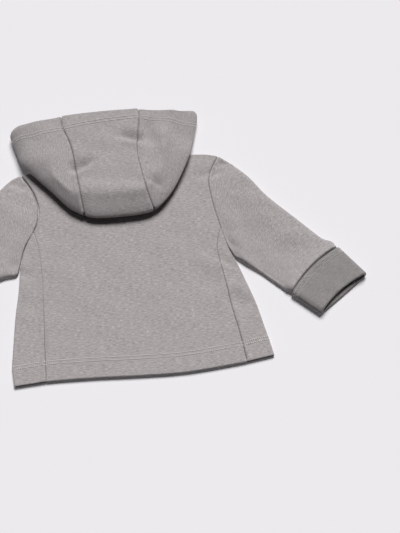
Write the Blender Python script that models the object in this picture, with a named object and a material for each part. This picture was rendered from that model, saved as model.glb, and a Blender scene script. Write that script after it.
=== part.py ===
"""Toddler hoodie in sweatshirt knit, laid face down with its hood turned back over the shoulders.

The frame: the origin lies on the surface under the middle of the body, on the garment's centre line.
+X points to the wearer's right sleeve, +Y from the hem to the neck and +Z up. Lengths are in
millimetres until a mesh is made. Each piece of cloth is one wall, made from the surface half way
through its thickness; neighbouring pieces stop a seam's gap apart.
"""
import math
from collections import namedtuple

import bpy
import numpy as np

MM = 0.001

# ---- cloth and layers ----
CLOTH = 1.8            # thickness of the knit
SEAM_GAP = 0.3         # gap between neighbouring pieces
HEM_EXTRA = 1.4        # a turned hem is thicker by this, on its inner side
HEM_DEPTH = 25.0       # turned hem of the body
MOUTH_HEM_DEPTH = 20.0  # turned hem round the hood's mouth
HALF = CLOTH / 2
FRONT_Z = HALF         # middle of the front's cloth, which lies on the surface
BACK_Z = 4.6           # middle of the back's cloth
HEM_BACK_Z = 7.2       # the same at the hem, where four layers lie on each other
HOOD_BACK_Z = BACK_Z + CLOTH + SEAM_GAP  # lower layer of the hood, on the back
RIPPLE = 0.8           # height of the soft ripples across the back
RIPPLE_ACROSS = 31.0   # their size along X and along Y
RIPPLE_ALONG = 47.0
RIPPLE_REACH = 120.0   # they end this far from the centre line
CREASED_BELOW = 50.0   # the back has ripples and creases from this y down to its hem

# ---- hood ----
RIM_Z_BACK = 12.5      # middle of the hood's turned edge over the back
RIM_Z_FLOOR = 8.0      # the same beyond the shoulders
DOME = 20.0            # rise of the hood's upper layer above its turned edge
DOME_REACH = 40.0      # distance in which it rises
SHOULDER_Y = 155.0     # the turned edge comes down from here
FLOOR_Y = 195.0        # to here

# ---- sleeves and turned-back cuffs ----
SLEEVE_TOP_Z = 6.6     # middle of a sleeve's upper layer
SLEEVE_ROUND = 12.0    # width of its rounded edge
CUFF_LIFT = 2.4        # distance between the two layers of a turned-back cuff
CUFF_EDGE_Z = 8.0      # upper inner layer under the cuff's free edge
CUFF_MOUTH_Z = 9.0     # the same at the mouth
CUFF_FREE_EDGE = 3.2   # distance from the swelling to the cuff's free edge
CUFF_ROUND = 5.0       # width of its rounded edge
CUFF_SAG = 0.6         # its folds lie this much below half way between its layers
CUFF_BOW = 5.5         # its upper layer lies back this far in the middle, at both of its edges
SLEEVE_DROP = 0.7      # a sleeve's fold lies this much higher than the body's
UNDERARM_STRETCH = 2.5  # the armhole meets the body's side fold at a slant, so rounds it this much longer
UNDERARM_CLEAR = 1.2   # more room between side panel and sleeve at the fold under the arm

Spot = namedtuple("Spot", "x y")
Crease = namedtuple("Crease", "x0 y0 x1 y1 width depth")
Finish = namedtuple("Finish", "name colour roughness")

# ---- outlines, seen from above ----
SHOULDERS = [Spot(-137, 157), Spot(-95, 162), Spot(-50, 164), Spot(0, 165), Spot(50, 165),
             Spot(95, 164), Spot(118, 162), Spot(137, 157)]
HEM = [Spot(-157, -159), Spot(-118, -157), Spot(-60, -159), Spot(0, -163), Spot(60, -165),
       Spot(133, -160), Spot(155, -155), Spot(166, -155)]
BACK_NECK = [Spot(-50, 164), Spot(-47, 159), Spot(-41, 156), Spot(-30, 153), Spot(0, 151),
             Spot(30, 153), Spot(41, 156), Spot(47, 159), Spot(50, 165)]
FRONT_NECK = [Spot(-50, 164), Spot(-46, 148), Spot(-34, 130), Spot(-17, 120), Spot(0, 117),
              Spot(17, 120), Spot(34, 130), Spot(46, 148), Spot(50, 165)]

# The armhole is one line on the back and two under the arm, where the panel and the sleeve part.
Side = namedtuple("Side", """armhole_back armhole_side armhole_sleeve
                             seam fold sleeve_outer sleeve_inner mouth""")
SIDES = {
    "right": Side(
        armhole_back=[Spot(137, 157), Spot(127, 140), Spot(121, 126), Spot(119, 110), Spot(121, 78),
                      Spot(126, 41)],
        armhole_side=[Spot(126, 41), Spot(130, 13), Spot(136, -8)],
        armhole_sleeve=[Spot(126, 41), Spot(130.5, 15), Spot(138.5, -6)],
        seam=[Spot(133, -160), Spot(129, -116), Spot(125, -85), Spot(121, -39), Spot(118, -8),
              Spot(118, 16), Spot(126, 41)],
        fold=[Spot(166, -155), Spot(164, -138), Spot(162, -119), Spot(156, -79), Spot(147, -43),
              Spot(141, -21), Spot(136, -8)],
        sleeve_outer=[Spot(137, 157), Spot(147, 149), Spot(159, 137), Spot(177, 115), Spot(197, 82),
                      Spot(232, 39), Spot(275, -9)],
        sleeve_inner=[Spot(138.5, -6), Spot(154, -21), Spot(170, -35), Spot(185, -51), Spot(203, -70)],
        mouth=[Spot(306, -56), Spot(237, -105)],
    ),
    "left": Side(
        armhole_back=[Spot(-137, 157), Spot(-128, 141), Spot(-121, 125), Spot(-116, 101),
                      Spot(-118, 80), Spot(-124, 64)],
        armhole_side=[Spot(-124, 64), Spot(-138, 38), Spot(-145, 8)],
        armhole_sleeve=[Spot(-124, 64), Spot(-138.5, 39), Spot(-147, 9)],
        seam=[Spot(-118, -157), Spot(-117, -93), Spot(-116, -41), Spot(-116, -5), Spot(-118, 34),
              Spot(-124, 64)],
        fold=[Spot(-157, -159), Spot(-160, -134), Spot(-158, -110), Spot(-153, -60), Spot(-150, -34),
              Spot(-147, -10), Spot(-145, 8)],
        sleeve_outer=[Spot(-137, 157), Spot(-147, 154), Spot(-158, 146), Spot(-172, 132),
                      Spot(-200, 107), Spot(-245, 67), Spot(-302, 18)],
        sleeve_inner=[Spot(-147, 9), Spot(-157, 3), Spot(-171, -3), Spot(-200, -19), Spot(-225, -37),
                      Spot(-248, -56)],
        mouth=[Spot(-343, -11), Spot(-288, -84)],
    ),
}

# ---- hood outlines, seen from above ----
Panel = namedtuple("Panel", "sign rim upper_seam lip lower_seam neck_side turn")
HOOD = {
    "left": Panel(
        sign=-1,
        rim=[Spot(-147, 218), Spot(-146, 204), Spot(-138, 177), Spot(-122, 153), Spot(-96, 121),
             Spot(-75, 93), Spot(-63, 81), Spot(-54, 75)],
        upper_seam=[Spot(-74, 236), Spot(-74, 217), Spot(-66, 191), Spot(-62, 168), Spot(-60, 142),
                    Spot(-58, 120), Spot(-56, 96), Spot(-54, 75)],
        lip=[Spot(-74, 236), Spot(-97, 235), Spot(-124, 232), Spot(-141, 227), Spot(-147, 218)],
        lower_seam=[Spot(-30, 153), Spot(-43, 112), Spot(-54, 75)],
        neck_side=[Spot(-47, 165), Spot(-47, 167), Spot(-47.5, 169), Spot(-48.5, 171)],
        turn=[Spot(-24, 197), Spot(-26, 194), Spot(-30, 188), Spot(-56, 183), Spot(-56, 177)],
    ),
    "right": Panel(
        sign=1,
        rim=[Spot(116, 217), Spot(112, 202), Spot(99, 160), Spot(86, 130), Spot(71, 102),
             Spot(55, 83), Spot(41, 72)],
        upper_seam=[Spot(34, 236), Spot(33, 214), Spot(29, 190), Spot(26, 160), Spot(28, 132),
                    Spot(33, 100), Spot(41, 72)],
        lip=[Spot(34, 236), Spot(64, 231), Spot(92, 227), Spot(110, 224), Spot(116, 217)],
        lower_seam=[Spot(30, 153), Spot(36, 112), Spot(41, 72)],
        neck_side=[Spot(47, 166), Spot(47, 168), Spot(47.5, 170), Spot(48.5, 172)],
        turn=[Spot(24, 197), Spot(26, 194), Spot(30, 188), Spot(56, 184), Spot(56, 178)],
    ),
}
STRIP_RIM = [Spot(-54, 75), Spot(-40, 69), Spot(-14, 67), Spot(20, 67), Spot(41, 72)]
STRIP_LIP = [Spot(-74, 236), Spot(-34, 238), Spot(1, 238), Spot(34, 236)]
NECK_RING = 0.15       # rings of a hood's side panel up to this one end at the front neck
FLOOR_RING = 0.20      # rings of a hood's side panel up to this one lie on the surface
BACK_RING = 0.31       # rings from this one on lie on the back
STRIP_RING = 0.44      # rings from this one on end at the centre strip
LAST_RING = 0.992      # the last ring, close to the crown
NECK_REACH = 0.375     # share of the front neck's edge on each side of its middle that the hood joins

# Troughs (depth > 0) and ridges (depth < 0) of the back and the hood.
CREASES = [
    Crease(118, -4, 131, -16, 5, 1.2),
    Crease(-140, 20, -128, 2, 6, 1.0),
    Crease(-20, 195, 26, 178, 8, 2.2),
    Crease(-58, 164, -40, 168, 6, 1.6),
]

KNIT = Finish("melange_knit", (0.396, 0.366, 0.366), 0.93)
KNIT_INSIDE = Finish("melange_knit_inside", (0.27, 0.25, 0.245), 0.95)


def clear_scene():
    """Removes whatever the scene holds."""
    for item in list(bpy.data.objects):
        bpy.data.objects.remove(item, do_unlink=True)


def smooth_step(value, start, end):
    """0 before start, 1 past end, and an S-curve between them."""
    share = np.clip((np.asarray(value, float) - start) / (end - start), 0.0, 1.0)
    return share * share * (3.0 - 2.0 * share)


def quarter_round(share):
    """Height of a quarter circle over the share of its radius, flat past 1."""
    inside = 1.0 - np.clip(share, 0.0, 1.0)
    return np.sqrt(1.0 - inside * inside)


def path_at(spots, shares, dense=24):
    """Points on the smooth curve through the spots, at these shares of its length."""
    knots = np.asarray(spots, float)
    padded = np.vstack([2 * knots[0] - knots[1], knots, 2 * knots[-1] - knots[-2]])
    t = np.linspace(0.0, 1.0, dense, endpoint=False)[:, None]
    runs = [
        0.5 * (2 * b + (c - a) * t + (2 * a - 5 * b + 4 * c - d) * t ** 2
               + (3 * b - 3 * c + d - a) * t ** 3)
        for a, b, c, d in zip(padded, padded[1:], padded[2:], padded[3:])
    ]
    points = np.vstack(runs + [knots[-1:]])
    steps = np.linalg.norm(np.diff(points, axis=0), axis=1)
    along = np.concatenate([[0.0], np.cumsum(steps)])
    wanted = np.asarray(shares, float) * along[-1]
    columns = [np.interp(wanted, along, points[:, k]) for k in range(points.shape[1])]
    return np.stack(columns, axis=-1)


def path_length(spots):
    """Length of the smooth curve through the spots."""
    points = path_at(spots, np.linspace(0.0, 1.0, 200))
    return np.linalg.norm(np.diff(points, axis=0), axis=1).sum()


def height_on(spots, x):
    """The y of the smooth curve through the spots, which runs along X, at each x."""
    points = path_at(spots, np.linspace(0.0, 1.0, 200))
    order = np.argsort(points[:, 0])
    return np.interp(x, points[order, 0], points[order, 1])


def distance_to(spots, points):
    """Distance in plan from each point to the smooth curve through the spots."""
    curve = path_at(spots, np.linspace(0.0, 1.0, 160))
    start = curve[:-1]
    run = curve[1:] - start
    offset = points[..., None, :2] - start
    share = np.clip((offset * run).sum(-1) / (run * run).sum(-1), 0.0, 1.0)
    return np.linalg.norm(offset - share[..., None] * run, axis=-1).min(-1)


def coons(low, high, left, right, u, v):
    """Plan grid between four edges: low and high run along u, left and right along v."""
    u = np.asarray(u)[None, :, None]
    v = np.asarray(v)[:, None, None]
    corners = ((1 - u) * (1 - v) * low[0] + u * (1 - v) * low[-1]
               + (1 - u) * v * high[0] + u * v * high[-1])
    return ((1 - v) * low[None] + v * high[None]
            + (1 - u) * left[:, None] + u * right[:, None] - corners)


def creases_at(plan):
    """How far the creases lower the cloth at each point of the plan."""
    total = np.zeros(plan.shape[:-1])
    for crease in CREASES:
        ends = [Spot(crease.x0, crease.y0), Spot(crease.x1, crease.y1)]
        total += crease.depth * np.exp(-(distance_to(ends, plan) / crease.width) ** 2)
    return total


def back_height(plan):
    """Middle of the back's cloth over the plan: low, thicker at the hem and softly rippled."""
    x = plan[..., 0]
    y = plan[..., 1]
    from_hem = y - height_on(HEM, x)
    hem_share = 1.0 - smooth_step(from_hem, HEM_DEPTH * 0.8, HEM_DEPTH * 2.4)
    ripple = 0.5 + 0.5 * np.sin(x / RIPPLE_ACROSS) * np.cos(y / RIPPLE_ALONG)
    open_back = smooth_step(CREASED_BELOW - y, 0.0, 40.0) * smooth_step(from_hem, 0.0, 60.0)
    middle = smooth_step(RIPPLE_REACH - np.abs(x), 0.0, 30.0)
    body = BACK_Z + (HEM_BACK_Z - BACK_Z) * hem_share
    return body + (RIPPLE * ripple * middle - creases_at(plan)) * open_back


def hem_thickness(plan):
    """Extra thickness of the turned hem of the body."""
    from_hem = plan[..., 1] - height_on(HEM, plan[..., 0])
    return HEM_EXTRA * (1.0 - smooth_step(from_hem, HEM_DEPTH - 3.0, HEM_DEPTH))


def joined(plan, height):
    """The plan with its heights."""
    return np.concatenate([plan, height[..., None]], axis=-1)


def pulled_in(grid, first_row=0.0, last_row=0.0, first_column=0.0, last_column=0.0):
    """The grid with its edges moved inwards along its own lines by these distances."""
    grid = grid.copy()

    def pull(edge, inner, amount):
        direction = inner - edge
        length = np.maximum(np.linalg.norm(direction, axis=-1, keepdims=True), 1e-9)
        return edge + direction / length * np.reshape(amount, (-1, 1))

    grid[0] = pull(grid[0], grid[1], first_row)
    grid[-1] = pull(grid[-1], grid[-2], last_row)
    grid[:, 0] = pull(grid[:, 0], grid[:, 1], first_column)
    grid[:, -1] = pull(grid[:, -1], grid[:, -2], last_column)
    return grid


def grid_normals(grid, around):
    """Unit normals of a grid of points; around says that its columns close on themselves."""
    if around:
        along = np.roll(grid, -1, axis=1) - np.roll(grid, 1, axis=1)
    else:
        along = np.gradient(grid, axis=1)
    across = np.gradient(grid, axis=0)
    normal = np.cross(along, across)
    return normal / np.maximum(np.linalg.norm(normal, axis=-1, keepdims=True), 1e-9)


def finish_of(finish):
    """The material of a finish, made once."""
    material = bpy.data.materials.get(finish.name)
    if material is None:
        material = bpy.data.materials.new(finish.name)
        material.use_nodes = True
        shader = material.node_tree.nodes["Principled BSDF"]
        shader.inputs["Base Color"].default_value = (*finish.colour, 1.0)
        shader.inputs["Roughness"].default_value = finish.roughness
        shader.inputs["Metallic"].default_value = 0.0
    return material


def cloth(name, grid, finish=KNIT, extra=0.0, around=False):
    """A wall of cloth round the grid of its middle surface, thicker inside by extra."""
    rows, columns = grid.shape[:2]
    normal = grid_normals(grid, around)
    extra = np.broadcast_to(extra, (rows, columns))[..., None]
    outer = grid + normal * HALF
    inner = grid - normal * (HALF + extra)
    points = np.concatenate([outer.reshape(-1, 3), inner.reshape(-1, 3)]) * MM
    number = np.arange(rows * columns).reshape(rows, columns)
    if around:
        number = np.concatenate([number, number[:, :1]], axis=1)
    back = number + rows * columns
    a, b = number[:-1, :-1].ravel(), number[:-1, 1:].ravel()
    c, d = number[1:, 1:].ravel(), number[1:, :-1].ravel()
    faces = [np.stack([a, b, c, d], axis=1), np.stack([d, c, b, a], axis=1) + rows * columns]
    edges = [(number[0], back[0]), (back[-1], number[-1])]
    if not around:
        edges += [(back[:, 0], number[:, 0]), (number[:, -1], back[:, -1])]
    for near, far in edges:
        faces.append(np.stack([near[1:], near[:-1], far[:-1], far[1:]], axis=1))
    mesh = bpy.data.meshes.new(name)
    mesh.from_pydata(points.tolist(), [], np.concatenate(faces).tolist())
    mesh.validate()
    mesh.materials.append(finish_of(finish))
    mesh.shade_smooth()
    mesh.set_sharp_from_angle(angle=math.radians(50))
    piece = bpy.data.objects.new(name, mesh)
    bpy.context.scene.collection.objects.link(piece)
    return piece


# ---- body ----
FOLD_RADIUS = (BACK_Z - FRONT_Z) / 2
FOLD_ANGLES = np.radians([90.0, 45.0, 0.0])     # round a fold, from its flat side to its edge
SEAM_ROWS = np.array([0.0, 0.07, 0.125, 0.15, 0.22, 0.31, 0.42, 0.53, 0.64, 0.74, 0.82, 0.89, 0.95, 1.0])
ARMHOLE_SHARES = np.array([0.14, 0.3, 0.46, 0.62, 0.8, 1.0])
ARMHOLE_SIDE_SHARES = np.array([0.3, 0.62])
SHOULDER_COLUMNS = 5
NECK_COLUMNS = 9
SHOULDER_CURL = 8.0    # the shoulder's fold starts over this distance beside the neck
SHOULDER_END = 0.318   # share of the body's width taken up by each shoulder


def fold_distances(radius):
    """Distances from a fold's edge at which its rounding has points, the edge first."""
    return radius * (1.0 - np.cos(FOLD_ANGLES[::-1]))


def armhole_back(side):
    """Points on the armhole from the shoulder's fold to the back seam, which three pieces share."""
    length = path_length(side.armhole_back)
    near_fold = fold_distances(FOLD_RADIUS) / length
    return path_at(side.armhole_back, np.concatenate([near_fold, ARMHOLE_SHARES]))


def armhole_under(spots):
    """Points on the armhole's edge from the back seam to the fold under the arm."""
    near_fold = 1.0 - fold_distances(FOLD_RADIUS)[::-1] * UNDERARM_STRETCH / path_length(spots)
    return path_at(spots, np.concatenate([[0.0], ARMHOLE_SIDE_SHARES, near_fold]))


def body_panel(neck, on_top):
    """Grid and extra thickness of the back (on top) or the front."""
    left_share = np.linspace(0.0, SHOULDER_END, SHOULDER_COLUMNS)
    neck_share = np.linspace(SHOULDER_END, 1.0 - SHOULDER_END, NECK_COLUMNS)
    u = np.concatenate([left_share, neck_share[1:], 1.0 - left_share[-2::-1]])
    edges = []
    for name in ("left", "right"):
        side = SIDES[name]
        edges.append(np.concatenate([path_at(side.seam, SEAM_ROWS), armhole_back(side)[-2::-1]]))
    hem_x = edges[0][0, 0] + (edges[1][0, 0] - edges[0][0, 0]) * u
    low = np.stack([hem_x, height_on(HEM, hem_x)], axis=1)
    edges[0][0], edges[1][0] = low[0], low[-1]
    along = np.linspace(0.0, 1.0, SHOULDER_COLUMNS)
    left_shoulder = path_at(SHOULDERS[:3], along)
    right_shoulder = path_at([neck[-1], *SHOULDERS[5:]], along)
    neck_run = path_at(neck, np.linspace(0.0, 1.0, NECK_COLUMNS))
    high = np.concatenate([left_shoulder, neck_run[1:], right_shoulder[1:]])
    top = (edges[0][-1, 1] + edges[1][-1, 1]) / 2
    bottom = (edges[0][0, 1] + edges[1][0, 1]) / 2
    v = ((edges[0][:, 1] + edges[1][:, 1]) / 2 - bottom) / (top - bottom)
    plan = coons(low, high, edges[0], edges[1], u, v)
    neck_half = neck[-1].x
    curl = smooth_step(np.abs(high[:, 0]), neck_half, neck_half + SHOULDER_CURL)
    flat_rows = len(v) - len(FOLD_ANGLES)
    rise = np.concatenate([np.ones(flat_rows), np.sin(FOLD_ANGLES)])
    drop = (1.0 - rise)[:, None] * curl[None, :] * FOLD_RADIUS
    height = back_height(plan) - drop if on_top else FRONT_Z + drop
    grid = pulled_in(joined(plan, height), first_column=SEAM_GAP / 2, last_column=SEAM_GAP / 2,
                     last_row=SEAM_GAP / 2 + HALF * math.sin(FOLD_ANGLES[1] / 2) * curl)
    return grid, hem_thickness(plan)


def make_body():
    """The back and the front, which meet at the shoulders."""
    grid, extra = body_panel(BACK_NECK, True)
    cloth("back", grid, extra=extra)
    grid, extra = body_panel(FRONT_NECK, False)
    cloth("front", grid[:, ::-1], extra=extra[:, ::-1])


# ---- side panels ----
SIDE_FLAT_SHARES = np.array([0.0, 0.3, 0.62])


def side_panel(name):
    """One side panel: from the back seam round the fold at the side to the front seam."""
    side = SIDES[name]
    seam = path_at(side.seam, SEAM_ROWS)
    fold = path_at(side.fold, SEAM_ROWS)
    seam[0, 1] = height_on(HEM, seam[0, 0])
    radius = (back_height(fold) - FRONT_Z) / 2
    width = np.linalg.norm(seam - fold, axis=1)
    along = np.gradient(fold, axis=0)
    aside = np.abs(np.cross(seam - fold, along)) / np.linalg.norm(along, axis=1)
    slant = np.clip(width / aside, 1.0, UNDERARM_STRETCH)
    run = [seam + (fold - seam) * share for share in SIDE_FLAT_SHARES]
    run += [fold + (seam - fold) * (distance * slant / width)[:, None]
            for distance in [radius * (1.0 - math.cos(angle)) for angle in FOLD_ANGLES]]
    plan = np.stack(run, axis=1)
    bow = armhole_under(side.armhole_side) - plan[-1]
    plan += bow[None] * (SEAM_ROWS[:, None, None]) ** 8
    flat = len(SIDE_FLAT_SHARES)
    level = back_height(plan)
    level[:, flat:] = FRONT_Z + radius[:, None] * (1.0 + np.sin(FOLD_ANGLES))
    under = np.full(level.shape, FRONT_Z)
    under[:, flat:] = FRONT_Z + radius[:, None] * (1.0 - np.sin(FOLD_ANGLES))
    grid = np.concatenate([joined(plan, level), joined(plan, under)[:, -2::-1]], axis=1)
    to_fold = np.abs(np.arange(grid.shape[1]) - (grid.shape[1] - 1) / 2)
    clear = SEAM_GAP / 2 + UNDERARM_CLEAR * (1.0 - smooth_step(to_fold, 1.0, 4.0))
    grid = pulled_in(grid, last_row=clear, first_column=SEAM_GAP / 2, last_column=SEAM_GAP / 2)
    extra = hem_thickness(grid) * smooth_step(radius, 1.9, 2.8)[:, None]
    if name == "left":
        grid, extra = grid[:, ::-1], extra[:, ::-1]
    cloth(f"side_{name}", grid, extra=extra)


# ---- sleeves ----
SLEEVE_ROWS = np.array([0.0, 0.04, 0.1, 0.19, 0.31, 0.44, 0.58, 0.72, 0.84])
Swell = namedtuple("Swell", "before top low inset")
SWELLING = [
    Swell(7.0, 8.6, 0.9, 0.0),
    Swell(3.0, 10.6, 1.0, 0.0),
    Swell(0.5, 11.0, 2.4, 0.4),
    Swell(-1.2, 9.0, 3.2, 2.2),
    Swell(-3.0, CUFF_EDGE_Z, 3.3, 2.4),
    Swell(-14.0, CUFF_EDGE_Z, 3.3, 2.4),
    Swell(-28.0, 8.4, 3.3, 2.4),
    Swell(-40.0, 8.8, 3.3, 2.4),
]
RING_HALF = 13          # steps across a sleeve's upper layer, and as many below


def ring_shares():
    """Shares across a flat tube, close together at its two folds."""
    return (1.0 - np.cos(np.linspace(0.0, math.pi, RING_HALF + 1))) / 2


def tube_ring(plan, bow, centre, up, down, round_up, round_down):
    """The closed ring over a line of plan points: upper layer out, moved by bow, lower layer back."""
    steps = np.linalg.norm(np.diff(plan, axis=0), axis=1)
    along = np.concatenate([[0.0], np.cumsum(steps)])
    edge = np.minimum(along, along[-1] - along)
    share = along / along[-1]
    plan_up = plan + 4.0 * (share * (1.0 - share))[:, None] * bow
    upper = joined(plan_up, centre + up * quarter_round(edge / round_up))
    lower = joined(plan, centre - down * quarter_round(edge / round_down))
    return np.concatenate([upper, lower[-2:0:-1]])


def cuff_frame(side):
    """Corners of the turned-back end: the swelling's line and the mouth's line."""
    near = np.array([side.sleeve_outer[-1], side.sleeve_inner[-1]], float)
    far = np.array(side.mouth, float)
    return near, far


def cuff_bow(side):
    """How far the middle of the cuff's upper layer lies back towards the shoulder."""
    near, far = cuff_frame(side)
    down_sleeve = far.mean(0) - near.mean(0)
    return -CUFF_BOW * down_sleeve / np.linalg.norm(down_sleeve)


def cuff_line(side, past, inset):
    """Plan points across the cuff, this far past the swelling and inset at both folds."""
    near, far = cuff_frame(side)
    length = np.linalg.norm(far.mean(0) - near.mean(0))
    ends = near + (far - near) * past / length
    across = ends[1] - ends[0]
    across = across / np.linalg.norm(across)
    ends = ends + np.array([across, -across]) * inset
    return ends[0] + (ends[1] - ends[0]) * ring_shares()[:, None]


def make_sleeve(name):
    """One sleeve: a flat tube from the armhole to inside its turned-back cuff."""
    side = SIDES[name]
    w = ring_shares()
    armhole = np.concatenate([armhole_back(side), armhole_under(side.armhole_sleeve)[1:]])
    near, _ = cuff_frame(side)
    end = near[0] + (near[1] - near[0]) * w[:, None]
    rows = np.append(SLEEVE_ROWS, 1.0)
    outer = path_at(side.sleeve_outer, rows)
    inner = path_at(side.sleeve_inner, rows)
    plan = coons(armhole, end, outer, inner, w, rows)
    swell = smooth_step(rows, 0.0, 0.25)
    back_bow = cuff_bow(side)
    rings = []
    for row in range(len(SLEEVE_ROWS)):
        top = BACK_Z + (SLEEVE_TOP_Z - BACK_Z) * swell[row]
        down = FOLD_RADIUS + SLEEVE_DROP * swell[row]
        centre = FRONT_Z + down
        reach = FOLD_RADIUS + (SLEEVE_ROUND - FOLD_RADIUS) * swell[row]
        bow = back_bow * smooth_step(rows[row], 0.3, 1.0)
        rings.append(tube_ring(plan[row], bow, centre, top - centre, down, reach, down))
    for swelling in SWELLING:
        line = cuff_line(side, -swelling.before, swelling.inset)
        centre = (swelling.top + swelling.low) / 2 - CUFF_SAG
        reach = CUFF_ROUND if swelling.before < 0 else SLEEVE_ROUND
        rings.append(tube_ring(line, back_bow, centre, swelling.top - centre,
                               centre - swelling.low, reach, centre - swelling.low))
    grid = np.stack(rings)
    around = np.arange(grid.shape[1])
    to_tip = np.abs(around - RING_HALF)
    clear = SEAM_GAP / 2 + UNDERARM_CLEAR * (1.0 - smooth_step(to_tip, 1.0, 4.0))
    grid = pulled_in(grid, first_row=clear)
    cloth(f"sleeve_{name}", turned(grid, name), around=True)


def turned(grid, name):
    """The grid with its rings reversed on the left, so that its cloth faces out there too."""
    return grid[:, ::-1] if name == "left" else grid


Turn = namedtuple("Turn", "before_mouth lift")
CUFF_PROFILE = (
    [Turn(5.6, 0.0), Turn(3.4, 0.0)]
    + [Turn(CUFF_LIFT / 2 * (1.0 - math.sin(angle)), CUFF_LIFT / 2 * (1.0 - math.cos(angle)))
       for angle in np.radians([25.0, 60.0, 90.0, 120.0, 155.0])]
    + [Turn(3.4, CUFF_LIFT), Turn(9.0, CUFF_LIFT), Turn(18.0, CUFF_LIFT), Turn(28.0, CUFF_LIFT),
       Turn(38.0, CUFF_LIFT)]
)


def make_cuff(name):
    """The end of the sleeve, rolled outwards at its mouth and laid back over the sleeve."""
    side = SIDES[name]
    near, far = cuff_frame(side)
    length = np.linalg.norm(far.mean(0) - near.mean(0))
    profile = list(CUFF_PROFILE) + [Turn(length - CUFF_FREE_EDGE, CUFF_LIFT)]
    rings = []
    for turn in profile:
        past = length - turn.before_mouth
        share = np.clip(past / length, 0.0, 1.0)
        line = cuff_line(side, past, CUFF_LIFT - turn.lift)
        inner_top = CUFF_EDGE_Z + (CUFF_MOUTH_Z - CUFF_EDGE_Z) * share
        top = inner_top + turn.lift
        low = FRONT_Z + CUFF_LIFT - turn.lift
        centre = (inner_top + FRONT_Z + CUFF_LIFT) / 2 - CUFF_SAG
        rings.append(tube_ring(line, cuff_bow(side), centre, top - centre, centre - low,
                               CUFF_ROUND + turn.lift, centre - low))
    grid = np.stack(rings)
    cloth(f"cuff_{name}", turned(grid, name), finish=KNIT_INSIDE, around=True)


# ---- hood ----
def hood_rim():
    """The whole turned edge of the hood, from the left corner of the mouth to the right one."""
    return HOOD["left"].rim[:-1] + STRIP_RIM + HOOD["right"].rim[-2::-1]


def rim_height(plan):
    """Middle height of the hood's turned edge near each point of the plan."""
    return RIM_Z_BACK + (RIM_Z_FLOOR - RIM_Z_BACK) * smooth_step(plan[..., 1], SHOULDER_Y, FLOOR_Y)


def hood_top(plan):
    """The hood's upper layer: a dome that rises from the turned edge, with its creases."""
    share = distance_to(hood_rim(), plan) / DOME_REACH
    dent = creases_at(plan) * smooth_step(share, 0.2, 0.8)
    return rim_height(plan) + DOME * quarter_round(share) - dent


def hood_low(plan, level):
    """The hood's lower layer at its level, rounded up to the turned edge."""
    radius = rim_height(plan) - level
    return rim_height(plan) - radius * quarter_round(distance_to(hood_rim(), plan) / radius)


CROWN_GAP = 0.5        # a side panel ends this far from the crown's point
RIM_SHARES_UP = np.array([0.0, 0.012, 0.045, 0.1, 0.18, 0.3, 0.46, 0.64, 0.82, 1.0])
RIM_SHARES_DOWN = np.array([0.012, 0.035, 0.08, 0.2, 0.38, 0.55, 0.7, 0.82, 0.92, 1.0])
NECK_SIDE_RINGS = [FLOOR_RING, 0.24, 0.275, BACK_RING]  # rings that rise past the neck's side
TURN_RINGS = [0.0, 0.1, NECK_RING, FLOOR_RING, BACK_RING]  # rings whose bend round the neck is given
RINGS = np.array([0.0, NECK_RING / 3, NECK_RING * 2 / 3, NECK_RING, *NECK_SIDE_RINGS, 0.35, 0.395,
                  STRIP_RING, 0.52, 0.6, 0.68, 0.75, 0.82, 0.88, 0.93, 0.968, LAST_RING])


def ring_share(start, end):
    """How far each ring lies between two of them, from 0 to 1."""
    return np.clip((RINGS - start) / (end - start), 0.0, 1.0)


def by_ring(rings, spots):
    """A spot for each ring, in straight lines between the spots given at some of the rings."""
    table = np.array(spots, float)
    return np.stack([np.interp(RINGS, rings, table[:, k]) for k in range(2)], axis=1)


def neck_points(panel):
    """Where each ring ends: along the front neck, up past the neck's side, and on the back."""
    low = path_at(FRONT_NECK, 0.5 + panel.sign * NECK_REACH * ring_share(0.0, NECK_RING))
    beside = by_ring(NECK_SIDE_RINGS, panel.neck_side)
    onto_back = [panel.neck_side[-1], *(BACK_NECK[1:4] if panel.sign < 0 else BACK_NECK[-2:-5:-1])]
    high = path_at(onto_back, ring_share(BACK_RING, STRIP_RING))
    seam = path_at(panel.lower_seam, ring_share(STRIP_RING, 1.0))
    ring = RINGS[:, None]
    ends = np.where(ring <= NECK_RING, low, beside)
    ends = np.where(ring >= BACK_RING, high, ends)
    return np.where(ring > STRIP_RING, seam, ends)


def mouth_thickness(line):
    """Extra thickness of the turned hem round the mouth, at points of a line that starts there."""
    steps = np.linalg.norm(np.diff(line, axis=0), axis=1)
    along = np.concatenate([[0.0], np.cumsum(steps)])
    return HEM_EXTRA * (1.0 - smooth_step(along, MOUTH_HEM_DEPTH - 3.0, MOUTH_HEM_DEPTH))


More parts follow.
